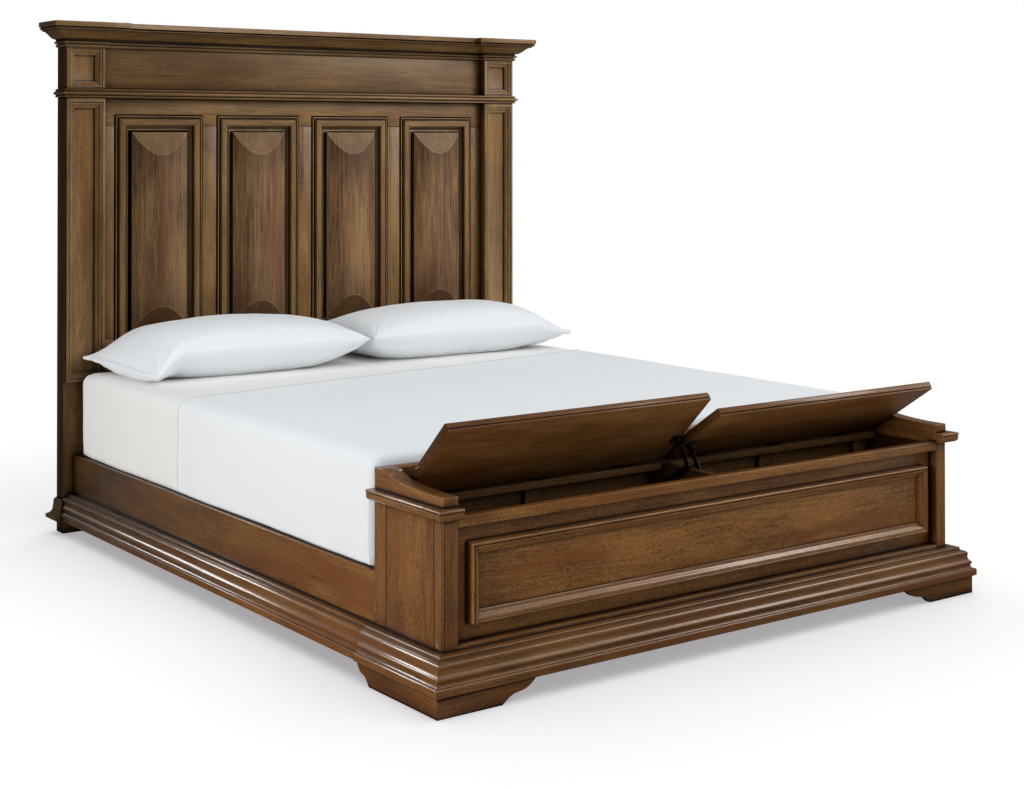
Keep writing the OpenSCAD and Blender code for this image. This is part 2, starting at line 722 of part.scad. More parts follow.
// Angle plates that tie the rails to the headboard and the chest
module rail_brackets() color(BLACK_STEEL) place() both() {
    plate_h = 60;
    leg = 48;
    z = [cleat_z - cleat_h - plate_h - 6, cleat_z - cleat_h - 6];
    inner = rail_in - bracket_t;
    box([inner, rail_in], [box_d, box_d + leg], z);
    box([rail_in - leg, rail_in], [box_d, box_d + bracket_t], z);
    box([inner, rail_in], [post_y - leg, post_y], z);
    box([rail_in - leg, rail_in], [post_y - bracket_t, post_y], z);
}

// Footboard chest
module footboard_posts() color(FOOTBOARD_WOOD) place() both() {
    inner = bed_half - foot_post_w;
    translate([0, 0, base_z]) linear_extrude(cap_z - base_z) polygon([[inner, 0],
        [bed_half - post_chamfer, 0], [bed_half, post_chamfer],
        [bed_half, foot_post_w], [inner, foot_post_w]]);
    box([inner, bed_half], [box_d - end_stile_w, box_d], [base_z, cap_z]);
    box([inner - lining_t, inner], [0, front_rail_t], [base_z, cap_z]);
}

module end_panel(side) color(FOOTBOARD_WOOD) place() flip(side) {
    front = foot_post_w;
    back = box_d - end_stile_w;
    translate([0, 0, base_z]) linear_extrude(cap_z - base_z) polygon([
        [bed_half - end_panel_t, front], [bed_half - groove_w, front],
        [bed_half, front + groove_w], [bed_half, back - groove_w],
        [bed_half - groove_w, back], [bed_half - end_panel_t, back]]);
}

module end_linings() color(INNER_WOOD) place() both()
    box([cap_in, cap_in + lining_t], [board_y, back_y], [base_z, cap_z]);

module footboard_caps() color(FOOTBOARD_WOOD) place() both()
    moulded_block([cap_in, bed_half], [0, box_d], cap_z, cap_profile, [0, 1]);

// The top of each arm sweeps up towards the bed in a quarter ellipse
module arms() color(FOOTBOARD_WOOD) place() both() {
    sweep = box_d - arm_front - arm_back;
    low = arm_z + arm_h;
    along_x([cap_in, bed_half]) polygon(concat(
        [[0, arm_z], [0, low]],
        [for (i = [0:16]) let (t = 90 * i / 16)
            [arm_front + sweep * sin(t), low + arm_rise * (1 - cos(t))]],
        [[box_d, arm_top], [box_d, arm_z]]));
}

module front_top_rail() color(FOOTBOARD_WOOD) place()
    box([-cap_in, cap_in], [0, front_rail_t], [front_rail_z, lid_seat_z]);

module front_board() color(FOOTBOARD_WOOD) place()
    box([-cap_in, cap_in], [board_y, board_back], [base_z, front_rail_z + front_rail_h / 2]);

module front_moulding() color(FOOTBOARD_WOOD) place() translate([0, board_y, front_z])
    mitred_frame(moulding_w, moulding_h, front_moulding_profile);

module front_field() color(FOOTBOARD_WOOD) place() {
    half_w = moulding_w / 2 - front_moulding_w;
    half_h = moulding_h / 2 - front_moulding_w;
    box([-half_w, half_w], [board_y - front_field_t, board_y], [front_z - half_h, front_z + half_h]);
}

module front_sill() color(FOOTBOARD_WOOD) place()
    box([-cap_in, cap_in], [0, front_rail_t], [base_z, sill_top]);

module footboard_base() color(FOOTBOARD_WOOD) place() difference() {
    moulded_block([-bed_half, bed_half], [0, box_d], base_z, base_profile(base_out));
    box([-bed_half, bed_half], [0, box_d + cut], [base_z - cut, base_z + base_h + cut]);
}

// Ogee outline of a bracket foot, which is flat for part of its length and then curls up
function foot_outline(l, ogee_l) = concat([[0, base_z], [0, 0]],
    [for (i = [0:10]) let (t = i / 10)
        [l - ogee_l + ogee_l * t, base_z * (t + 0.8 * sin(360 * t) / (2 * PI)) * (0.9 + 0.1 * t)]]);

module bracket_feet() color(FOOTBOARD_WOOD) place() both() {
    face = base_out - bracket_setback;
    block = foot_post_w + face - bracket_foot_t;
    intersection() {
        translate([bed_half + face, 0, 0]) mirror([1, 0, 0])
            along_y([-face, -face + bracket_foot_t]) polygon(foot_outline(bracket_foot_l, bracket_ogee_l));
        box([0, bed_half + face], [-face, box_d], [0, base_z]);
    }
    translate([0, -face, 0]) along_x([bed_half + face - bracket_foot_t, bed_half + face])
        polygon(foot_outline(box_d + face, side_ogee_l));
    translate([bed_half - foot_post_w, -face + bracket_foot_t, 0]) cube([block, block, base_z]);
    translate([bed_half - foot_post_w, box_d - side_ogee_l - foot_post_w, 0])
        cube([block, foot_post_w, base_z]);
}

module box_bottom() color(INNER_WOOD) place()
    box([-cap_in, cap_in], [board_back, back_y], [chest_floor_z - bottom_t, chest_floor_z]);

module box_back() color(INNER_WOOD) place()
    box([-cap_in - lining_t, cap_in + lining_t], [back_y, box_d], [base_z, hinge_rail_z]);

module back_battens() color(INNER_WOOD) place() both()
    for (x = [cap_in - batten_w, cap_in / 2 - batten_w / 2])
        box([x, x + batten_w], [back_y - batten_t, back_y], [chest_floor_z, hinge_rail_z]);

module back_rail() color(FOOTBOARD_WOOD) place()
    box([-cap_in, cap_in], [back_rail_y, box_d], [hinge_rail_z, arm_top]);

module partition() color(INNER_WOOD) place() along_x([-partition_t / 2, partition_t / 2])
    polygon([[board_back, chest_floor_z], [board_back, lid_seat_z - 2],
        [hinge_rail_y, lid_seat_z - 2], [hinge_rail_y, hinge_rail_z],
        [back_y, hinge_rail_z], [back_y, chest_floor_z]]);

module hinge_rail() color(INNER_WOOD) place()
    box([-cap_in, cap_in], [hinge_rail_y, back_rail_y], [hinge_rail_z, lid_seat_z]);

// Lids, hinges and stays, drawn shut and then swung about the hinge pin
module swing(angle) translate([0, hinge_y, hinge_z]) rotate([-angle, 0, 0])
    translate([0, -hinge_y, -hinge_z]) children();

module lid(side, angle) color(FOOTBOARD_WOOD) place() swing(angle) flip(side)
    along_x([lid_x0, lid_x1]) translate([-lid_overhang, lid_z]) polygon(concat(
        [[lid_back + lid_overhang, lid_t], [lid_back + lid_overhang, 0], [5, 0]],
        arc([5, 3.5], 3.5, -90, -250, 6),
        [[2, lid_t * 0.3], [0, lid_t * 0.35]],
        arc([5, lid_t - 5], 5, 180, 90, 4)));

// Middle of each hinge along its lid
function hinge_x(i) = lid_x0 + (lid_x1 - lid_x0) * (2 * i + 1) / (2 * hinge_count);

knuckle_l = hinge_l / 5;

// One knuckle of a hinge, with its bore, centred on x
module knuckle(x) translate([x - knuckle_l / 2 + knuckle_gap / 2, hinge_y, hinge_z])
    rotate([0, 90, 0]) cylinder(r = barrel_r, h = knuckle_l - knuckle_gap);

module hinge_bore(x) translate([x - hinge_l / 2 - cut, hinge_y, hinge_z]) rotate([0, 90, 0])
    cylinder(r = hinge_pin_r + pin_clear, h = hinge_l + 2 * cut);

module fixed_leaf(x) difference() {
    union() {
        box([x - hinge_l / 2, x + hinge_l / 2], [hinge_y + barrel_r + 0.4, back_rail_y],
            [lid_seat_z, lid_seat_z + leaf_t]);
        for (k = [-2, 0, 2]) {
            knuckle(x + k * knuckle_l);
            box([x + (k - 0.5) * knuckle_l + knuckle_gap / 2, x + (k + 0.5) * knuckle_l - knuckle_gap / 2],
                [hinge_y, hinge_y + barrel_r + 1], [lid_seat_z, lid_seat_z + leaf_t]);
        }
    }
    hinge_bore(x);
}

module moving_leaf(x) difference() {
    union() {
        box([x - hinge_l / 2, x + hinge_l / 2], [lid_back, lid_back + leaf_t],
            [lid_z, lid_z + lid_t - 3]);
        for (k = [-1, 1]) {
            knuckle(x + k * knuckle_l);
            box([x + (k - 0.5) * knuckle_l + knuckle_gap / 2, x + (k + 0.5) * knuckle_l - knuckle_gap / 2],
                [lid_back, hinge_y], [hinge_z + barrel_r - leaf_t, hinge_z + barrel_r]);
        }
    }
    hinge_bore(x);
}

module hinge_pin(x) translate([x - hinge_l / 2, hinge_y, hinge_z]) rotate([0, 90, 0])
    cylinder(r = hinge_pin_r, h = hinge_l);

// A rivet along X at a place in Y and Z, from x0 to x1, with a domed head at x1
module rivet(at, x0, x1) translate([0, at[0], at[1]]) {
    translate([x0, 0, 0]) rotate([0, 90, 0]) cylinder(r = stay_pin_r, h = x1 - x0);
    translate([x1, 0, 0]) rotate([0, 90, 0]) cylinder(r = rivet_head_r, h = rivet_head_t);
}

// A flat bar with round ends, between two places in Y and Z
module bar(a, b, x, w) {
    along = b - a;
    translate([x, a[0], a[1]]) rotate([atan2(along[1], along[0]), 0, 0]) rotate([90, 0, 90])
        linear_extrude(stay_t) {
            circle(r = w / 2);
            translate([0, -w / 2]) square([norm(along), w]);
            translate([norm(along), 0]) circle(r = w / 2);
        }
}

module stay_hole(at, r, x) translate([x - cut, at[0], at[1]]) rotate([0, 90, 0])
    cylinder(r = r, h = stay_t + 2 * cut);

module stay_foot() {
    foot_w = stay_w + 22;
    difference() {
        box([stay_x, stay_x + leaf_t], [stay_base[0] - foot_w / 2, stay_base[0] + foot_w / 2],
            [stay_base[1] - stay_w, stay_base[1] + stay_w]);
        for (y = [-1, 1]) translate([stay_x - cut, stay_base[0] + y * (foot_w / 2 - 5), stay_base[1]])
            rotate([0, 90, 0]) cylinder(r = 2, h = leaf_t + 2 * cut);
    }
    rivet(stay_base, stay_x + leaf_t, upper_x);
}

module fixed_hardware() color(BLACK_STEEL) place() both() {
    for (i = [0:hinge_count - 1]) {
        fixed_leaf(hinge_x(i));
        hinge_pin(hinge_x(i));
    }
    stay_foot();
}

module stay_lower(side, angle) color(BLACK_STEEL) place() flip(side) {
    tip = elbow(angle);
    difference() {
        bar(stay_base, tip, lower_x, stay_w);
        stay_hole(stay_base, stay_pin_r + pin_clear, lower_x);
    }
    rivet(tip, lower_x + stay_t, upper_x + stay_t + arm_gap);
}

module stay_upper(side, angle) color(BLACK_STEEL) place() flip(side) {
    tip = elbow(angle);
    pin = tip + [stay_base_y, stay_base_z];
    difference() {
        bar(tip, pin, upper_x, stay_w);
        stay_hole(tip, stay_pin_r + pin_clear, upper_x);
        stay_hole(pin, stay_pin_r + stay_play, upper_x);
    }
}

// The lid's hinge leaves, and the ear that its stay is pinned to
module lid_hardware(side, angle) color(BLACK_STEEL) place() swing(angle) flip(side) {
    pin = [hinge_y - stay_reach, hinge_z - stay_drop];
    for (i = [0:hinge_count - 1]) moving_leaf(hinge_x(i));
    translate([lower_x, pin[0], pin[1]]) rotate([90, 0, 90]) linear_extrude(stay_t) {
        circle(r = stay_w / 2);
        translate([-stay_w / 2, 0]) square([stay_w, lid_z - pin[1]]);
    }
    box([lower_x, lower_x + 26], [pin[0] - 16, pin[0] + 16], [lid_z - 2.5, lid_z]);
    rivet(pin, lower_x + stay_t, upper_x + stay_t + arm_gap);
}

// Mattress and bedding
// A rounded block that stands grow outside the mattress above the side rails
module mattress_form(grow) {
    r = mattress_corner_r + grow;
    edge = mattress_edge_r + grow;
    half = rail_in + mattress_lap + grow - r;
    z = [rail_top + 2 - grow + edge, slat_z + mattress_t + grow - edge];
    hull() for (x = [-half, half], y = [mattress_y0 + r - grow, mattress_y1 - r + grow], h = z)
        translate([x, y, h]) rotate_extrude($fn = 24) intersection() {
            translate([r - edge, 0]) circle(r = edge, $fn = 24);
            translate([0, -edge]) square([r, 2 * edge]);
        }
}

// The mattress swells out over the rails, above a core that lies between them
module mattress() color(WHITE_COTTON) place() {
    r = mattress_corner_r;
    inset = 20;
    mattress_form(0);
    hull() for (x = [-1, 1], y = [mattress_y0 + inset + r, mattress_y1 - inset - r])
        translate([x * (mattress_w / 2 - r), y, slat_z + soft_gap])
            cylinder(r = r, h = rail_top + mattress_edge_r - slat_z, $fn = 24);
}

// The top sheet wraps the foot of the mattress and ends in a slanting hem
module top_sheet() color(WHITE_COTTON) place() {
    far = rail_in + mattress_lap + 60;
    y0 = mattress_y0 - 60;
    hem = mattress_y0 + sheet_side_l;
    difference() {
        mattress_form(sheet_t + soft_gap);
        mattress_form(soft_gap);
        box([-far, far], [y0, mattress_y1 + 60], [0, rail_top + 8]);
        linear_extrude(slat_z + mattress_t + 60) polygon([[-far, hem], [0, hem + sheet_skew],
            [far, hem + 2 * sheet_skew], [far, mattress_y1 + 60], [-far, mattress_y1 + 60]]);
    }
}

// Half thickness of a pillow at u across and v along, each from -1 to 1
function crown_of(u, v) = pow(max(0, (1 - pow(abs(u), 2.6)) * (1 - pow(abs(v), 2.6))), 0.5);

// A point of a pillow, with the sides drawn in between the corners
function pillow_point(u, v, lift, h) = [
    pillow_w / 2 * u * (1 - 0.045 * (1 - v * v)),
    pillow_d / 2 * v * (1 - 0.05 * (1 - u * u)),
    lift * min(h, (h + 12) * crown_of(u, v))];

module pillow(side) color(WHITE_COTTON) place()
    translate([side * (pillow_w / 2 + 4), mattress_y1 - pillow_d / 2 + 8, slat_z + mattress_t + soft_gap
        + pillow_seam_h]) {
    nu = 26;
    nv = 14;
    row = nu + 1;
    sheet = row * (nv + 1);
    us = [for (i = [0:nu]) sin(90 * (2 * i / nu - 1))];
    vs = [for (j = [0:nv]) sin(90 * (2 * j / nv - 1))];
    top = [for (j = [0:nv], i = [0:nu]) pillow_point(us[i], vs[j], 1, pillow_h - pillow_seam_h)];
    bottom = [for (j = [0:nv], i = [0:nu]) pillow_point(us[i], vs[j], -1, pillow_seam_h)
        - [0, 0, i % nu == 0 || j % nv == 0 ? 1 : 0]];
    polyhedron(concat(top, bottom), concat(
        [for (j = [0:nv - 1], i = [0:nu - 1]) let (a = j * row + i) [a, a + row, a + row + 1]],
        [for (j = [0:nv - 1], i = [0:nu - 1]) let (a = j * row + i) [a, a + row + 1, a + 1]],
        [for (j = [0:nv - 1], i = [0:nu - 1]) let (a = sheet + j * row + i) [a, a + row + 1, a + row]],
        [for (j = [0:nv - 1], i = [0:nu - 1]) let (a = sheet + j * row + i) [a, a + 1, a + row + 1]],
        [for (i = [0:nu - 1]) [i, i + 1, sheet + i + 1, sheet + i]],
        [for (i = [0:nu - 1]) let (a = nv * row + i) [a + 1, a, sheet + a, sheet + a + 1]],
        [for (j = [0:nv - 1]) let (a = j * row) [a + row, a, sheet + a, sheet + a + row]],
        [for (j = [0:nv - 1]) let (a = j * row + nu) [a, a + row, sheet + a + row, sheet + a]]));
}

headboard_post(-1);  // headboard_post_left
headboard_post(1);  // headboard_post_right
pilasters();
corner_blocks();
frieze_board();
astragal();
crown_moulding();
crown_cap();
headboard_top_rail();
headboard_bottom_rail();
headboard_stiles();
headboard_muntins();
panel_mouldings();
raised_panel(0);  // raised_panel_1
raised_panel(1);  // raised_panel_2
raised_panel(2);  // raised_panel_3
raised_panel(3);  // raised_panel_4
headboard_stretcher();
headboard_base();
side_rail(-1);  // side_rail_left
side_rail(1);  // side_rail_right
rail_mouldings();
slat_cleats();
slats();
centre_beam();
support_legs();
levelling_feet();
rail_brackets();
footboard_posts();
end_panel(-1);  // end_panel_left
end_panel(1);  // end_panel_right
end_linings();
footboard_caps();
arms();
front_top_rail();
front_board();
front_field();
front_moulding();
front_sill();
footboard_base();
bracket_feet();
box_bottom();
box_back();
back_battens();
back_rail();
partition();
hinge_rail();
fixed_hardware();
lid(-1, left_open);  // lid_left
lid(1, right_open);  // lid_right
lid_hardware(-1, left_open);  // lid_left_hardware
lid_hardware(1, right_open);  // lid_right_hardware
stay_lower(-1, left_open);  // stay_left_lower
stay_upper(-1, left_open);  // stay_left_upper
stay_lower(1, right_open);  // stay_right_lower
stay_upper(1, right_open);  // stay_right_upper
mattress();
top_sheet();
pillow(-1);  // pillow_left
pillow(1);  // pillow_right
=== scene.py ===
import json
import math
import bmesh
import bpy
import numpy as np
from mathutils import Euler, Matrix, Vector, noise

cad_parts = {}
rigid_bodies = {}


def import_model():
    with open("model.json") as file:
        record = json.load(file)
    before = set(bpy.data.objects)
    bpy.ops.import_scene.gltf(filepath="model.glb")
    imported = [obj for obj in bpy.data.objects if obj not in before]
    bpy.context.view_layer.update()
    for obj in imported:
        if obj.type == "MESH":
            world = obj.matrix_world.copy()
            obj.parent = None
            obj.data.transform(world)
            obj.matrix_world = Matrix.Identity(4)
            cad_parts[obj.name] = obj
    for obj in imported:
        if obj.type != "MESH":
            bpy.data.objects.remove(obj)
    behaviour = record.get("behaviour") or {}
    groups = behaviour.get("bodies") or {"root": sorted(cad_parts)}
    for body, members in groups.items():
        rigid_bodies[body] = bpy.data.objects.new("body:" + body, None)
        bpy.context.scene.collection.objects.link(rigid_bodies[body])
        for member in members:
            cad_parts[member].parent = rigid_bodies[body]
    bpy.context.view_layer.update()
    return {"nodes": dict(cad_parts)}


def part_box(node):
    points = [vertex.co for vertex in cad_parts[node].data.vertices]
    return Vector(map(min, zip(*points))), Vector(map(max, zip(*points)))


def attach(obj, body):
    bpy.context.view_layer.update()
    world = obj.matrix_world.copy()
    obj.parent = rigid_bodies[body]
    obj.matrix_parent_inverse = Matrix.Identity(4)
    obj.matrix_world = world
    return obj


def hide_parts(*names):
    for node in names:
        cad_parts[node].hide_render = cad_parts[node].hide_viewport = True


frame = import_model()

# Storage bed: X runs across it, Y from foot to head, Z up, in metres. The wood pieces are copies
# of the frame's own solids with eased edges. The bedding is made here.
nodes = frame["nodes"]
scene = bpy.context.scene
posts_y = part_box("front_sill")[0].y
bed_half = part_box("end_panel_right")[1].x
mattress_low, mattress_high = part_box("mattress")


# Camera
lens = bpy.data.cameras.new("photo_camera")
lens.sensor_width = 36
lens.lens = 59.79
lens.shift_x = 0.0544
lens.shift_y = -0.2684
camera = bpy.data.objects.new("photo_camera", lens)
camera.location = (-3.5172, -4.8320, 1.4814)
camera.rotation_euler = Euler((math.radians(90.59), 0, math.radians(-35.25)))
scene.collection.objects.link(camera)
scene.camera = camera


# Node helpers
def joined(tree, start, end):
    tree.links.new(start, end)


def added(tree, kind, **settings):
    node = tree.nodes.new(kind)
    for name, value in settings.items():
        setattr(node, name, value)
    return node


def maths(tree, operation, first, second=None, third=None, clamp=False):
    node = added(tree, "ShaderNodeMath", operation=operation, use_clamp=clamp)
    for socket, value in zip(node.inputs, (first, second, third)):
        if value is None:
            continue
        if isinstance(value, (int, float)):
            socket.default_value = value
        else:
            joined(tree, value, socket)
    return node.outputs[0]


def spread(tree, value, low, high, to_low=0.0, to_high=1.0, smooth=True):
    node = added(tree, "ShaderNodeMapRange", interpolation_type="SMOOTHSTEP" if smooth else "LINEAR")
    joined(tree, value, node.inputs["Value"])
    for name, number in (("From Min", low), ("From Max", high), ("To Min", to_low), ("To Max", to_high)):
        node.inputs[name].default_value = number
    return node.outputs["Result"]


def mixed(tree, share, first, second, blend="MIX"):
    node = added(tree, "ShaderNodeMix", data_type="RGBA", blend_type=blend)
    sockets = [s for s in node.inputs if s.type == "RGBA"]
    for socket, value in ((node.inputs[0], share), (sockets[0], first), (sockets[1], second)):
        if isinstance(value, (int, float)):
            socket.default_value = value
        elif isinstance(value, tuple):
            socket.default_value = (*value, 1)
        else:
            joined(tree, value, socket)
    return [s for s in node.outputs if s.type == "RGBA"][0]


def noise_of(tree, vector, scale, detail=2.0, rough=0.5, output="Fac"):
    node = added(tree, "ShaderNodeTexNoise")
    joined(tree, vector, node.inputs["Vector"])
    node.inputs["Scale"].default_value = scale
    node.inputs["Detail"].default_value = detail
    node.inputs["Roughness"].default_value = rough
    return node.outputs[output]


def stretched(tree, vector, along, across):
    node = added(tree, "ShaderNodeMapping")
    joined(tree, vector, node.inputs["Vector"])
    node.inputs["Scale"].default_value = (along, across, across)
    return node.outputs["Vector"]


def new_group(name, inputs, outputs):
    tree = bpy.data.node_groups.new(name, "ShaderNodeTree")
    for label, kind, value in inputs:
        socket = tree.interface.new_socket(name=label, in_out="INPUT", socket_type=kind)
        if value is not None:
            socket.default_value = value
    for label, kind in outputs:
        tree.interface.new_socket(name=label, in_out="OUTPUT", socket_type=kind)
    return tree, added(tree, "NodeGroupInput"), added(tree, "NodeGroupOutput")


# Figure of a sawn board: rings round a far axis, streaks, fibres, pores and patches of stain
def board_figure_group():
    tree, given, made = new_group(
        "board figure",
        [
            ("Board", "NodeSocketVector", None),
            ("Pale", "NodeSocketColor", (0.30, 0.18, 0.09, 1)),
            ("Deep", "NodeSocketColor", (0.12, 0.06, 0.03, 1)),
            ("Patch", "NodeSocketColor", (0.25, 0.10, 0.05, 1)),
            ("Rings", "NodeSocketFloat", 0.4),
            ("Streaks", "NodeSocketFloat", 0.4),
            ("Pores", "NodeSocketFloat", 0.4),
            ("Curl", "NodeSocketFloat", 0.4),
        ],
        [("Color", "NodeSocketColor"), ("Height", "NodeSocketFloat"), ("Matt", "NodeSocketFloat")],
    )
    board = given.outputs["Board"]
    wander = noise_of(tree, stretched(tree, board, 0.9, 2.2), 1.0, 2.0, 0.5, "Color")
    wander_parts = added(tree, "ShaderNodeSeparateColor")
    joined(tree, wander, wander_parts.inputs[0])
    small = noise_of(tree, stretched(tree, board, 3.5, 30), 1.0, 2.0)
    place = added(tree, "ShaderNodeSeparateXYZ")
    joined(tree, board, place.inputs[0])
    across = maths(tree, "MULTIPLY_ADD", wander_parts.outputs[0], 0.22, place.outputs[1])
    across = maths(tree, "SUBTRACT", across, 0.11)
    through = maths(tree, "MULTIPLY_ADD", wander_parts.outputs[1], 0.16, place.outputs[2])
    reach = maths(tree, "SQRT", maths(tree, "ADD", maths(tree, "MULTIPLY", across, across),
        maths(tree, "MULTIPLY", through, through)))
    reach = maths(tree, "MULTIPLY_ADD", small, 0.006, reach)
    ring = maths(tree, "FRACT", maths(tree, "MULTIPLY", reach, 95))
    late = maths(tree, "MULTIPLY", spread(tree, ring, 0.35, 0.95), spread(tree, ring, 1.0, 0.95))
    wide = noise_of(tree, stretched(tree, board, 2.2, 17), 1.0, 3.0, 0.6)
    streak = noise_of(tree, stretched(tree, board, 4.5, 120), 1.0, 4.0, 0.65)
    fibre = noise_of(tree, stretched(tree, board, 16, 900), 1.0, 2.0, 0.6)
    fleck = noise_of(tree, stretched(tree, board, 60, 1500), 1.0, 1.0, 0.5)
    pore = spread(tree, fleck, 0.58, 0.68)
    curl = noise_of(tree, stretched(tree, board, 130, 300), 1.0, 2.0, 0.6)
    patch = noise_of(tree, stretched(tree, board, 1.6, 11), 1.0, 3.0, 0.6)
    cloud = noise_of(tree, stretched(tree, board, 3.0, 6), 1.0, 3.0, 0.6)
    depth = maths(tree, "MULTIPLY_ADD", late, given.outputs["Rings"], 0.32)
    for value, low, high, weight, share in ((wide, 0.3, 0.7, 0.5, "Streaks"),
            (streak, 0.28, 0.72, 0.55, "Streaks"), (fibre, 0.25, 0.75, 0.45, "Streaks"),
            (curl, 0.3, 0.7, 0.7, "Curl")):
        lean = maths(tree, "MULTIPLY", maths(tree, "SUBTRACT", spread(tree, value, low, high), 0.5), weight)
        depth = maths(tree, "MULTIPLY_ADD", lean, given.outputs[share], depth)
    depth = maths(tree, "ADD", depth, spread(tree, cloud, 0.3, 0.7, -0.12, 0.2))
    depth = maths(tree, "MULTIPLY_ADD", pore, given.outputs["Pores"], depth, clamp=True)
    tone = mixed(tree, depth, given.outputs["Pale"], given.outputs["Deep"])
    tone = mixed(tree, spread(tree, patch, 0.48, 0.66, 0.0, 0.75), tone, given.outputs["Patch"])
    joined(tree, tone, made.inputs["Color"])
    height = maths(tree, "MULTIPLY_ADD", pore, -0.9, maths(tree, "MULTIPLY", fibre, 0.5))
    height = maths(tree, "MULTIPLY_ADD", late, 0.25, height)
    joined(tree, height, made.inputs["Height"])
    joined(tree, spread(tree, streak, 0.2, 0.8), made.inputs["Matt"])
    return tree


# Dark glaze left in narrow corners, and painted shade in wider recesses, between parts and near the floor; edges
# made paler, partly as finish rubbed thin and partly as painted highlight
def glaze_and_shade_group():
    tree, given, made = new_group(
        "glaze, painted shade, wear and painted highlight",
        [
            ("Color", "NodeSocketColor", (0.2, 0.1, 0.05, 1)),
            ("Glaze", "NodeSocketColor", (0.03, 0.016, 0.009, 1)),
            ("Worn", "NodeSocketColor", (0.40, 0.27, 0.16, 1)),
            ("Glaze share", "NodeSocketFloat", 0.8),
            ("Wear share", "NodeSocketFloat", 0.3),
        ],
        [("Color", "NodeSocketColor"), ("Corner", "NodeSocketFloat")],
    )
    # Narrow reach: dark lines in the quirks, partly real glaze and partly painted shade
    quirk = added(tree, "ShaderNodeAmbientOcclusion", samples=8)
    quirk.inputs["Distance"].default_value = 0.009
    # Wide reach: painted shade in recesses, between parts and near the floor
    hollow = added(tree, "ShaderNodeAmbientOcclusion", samples=8)
    hollow.inputs["Distance"].default_value = 0.05
    line = spread(tree, quirk.outputs["AO"], 0.94, 0.68)
    shade = spread(tree, hollow.outputs["AO"], 0.88, 0.25, 0.0, 0.75)
    corner = maths(tree, "MAXIMUM", line, shade)
    # Convex edges made paler: partly finish rubbed thin, partly painted highlight
    ridge = added(tree, "ShaderNodeAmbientOcclusion", samples=8, inside=True, only_local=True)
    ridge.inputs["Distance"].default_value = 0.005
    edge = spread(tree, ridge.outputs["AO"], 0.82, 0.5)
    where = added(tree, "ShaderNodeTexCoord")
    patchy_edge = noise_of(tree, where.outputs["Object"], 9, 3.0, 0.6)
    edge = maths(tree, "MULTIPLY", edge, spread(tree, patchy_edge, 0.35, 0.65, 0.35, 1.0))
    worn_and_lit = mixed(tree, maths(tree, "MULTIPLY", edge, given.outputs["Wear share"]),
        given.outputs["Color"], given.outputs["Worn"])
    share = maths(tree, "MULTIPLY", corner, given.outputs["Glaze share"])
    joined(tree, mixed(tree, share, worn_and_lit, given.outputs["Glaze"]), made.inputs["Color"])
    joined(tree, corner, made.inputs["Corner"])
    return tree


# Plain weave of cotton, from the object's own place
def weave_group():
    tree, given, made = new_group(
        "cotton weave",
        [("Threads per metre", "NodeSocketFloat", 1600.0), ("Slub", "NodeSocketFloat", 0.3)],
        [("Height", "NodeSocketFloat"), ("Tone", "NodeSocketFloat")],
    )
    where = added(tree, "ShaderNodeTexCoord")
    place = added(tree, "ShaderNodeSeparateXYZ")
    joined(tree, where.outputs["Object"], place.inputs[0])
    rate = maths(tree, "MULTIPLY", given.outputs["Threads per metre"], math.tau / 2)
    warp = maths(tree, "SINE", maths(tree, "MULTIPLY", place.outputs[0], rate))
    lift = maths(tree, "ADD", place.outputs[1], place.outputs[2])
    weft = maths(tree, "SINE", maths(tree, "MULTIPLY", lift, rate))
    slub = noise_of(tree, stretched(tree, where.outputs["Object"], 40, 700), 1.0, 3.0)
    threads = maths(tree, "MULTIPLY", warp, weft)
    height = maths(tree, "MULTIPLY_ADD", slub, given.outputs["Slub"], threads)
    joined(tree, height, made.inputs["Height"])
    joined(tree, spread(tree, slub, 0.3, 0.7), made.inputs["Tone"])
    return tree


board_figure = board_figure_group()
glaze_shade_wear_and_highlight = glaze_and_shade_group()
cotton_weave = weave_group()


def new_material(name):
    material = bpy.data.materials.new(name)
    material.use_nodes = True
    tree = material.node_tree
    return material, tree, tree.nodes["Principled BSDF"]


def placed(tree, group, **values):
    node = added(tree, "ShaderNodeGroup")
    node.node_tree = group
    for name, value in values.items():
        socket = node.inputs[name.replace("_", " ")]
        socket.default_value = (*value, 1) if isinstance(value, tuple) and len(value) == 3 else value
    return node


def bumped(tree, shader, height, strength, distance):
    bump = added(tree, "ShaderNodeBump")
    bump.inputs["Strength"].default_value = strength
    bump.inputs["Distance"].default_value = distance
    joined(tree, height, bump.inputs["Height"])
    joined(tree, bump.outputs["Normal"], shader.inputs["Normal"])
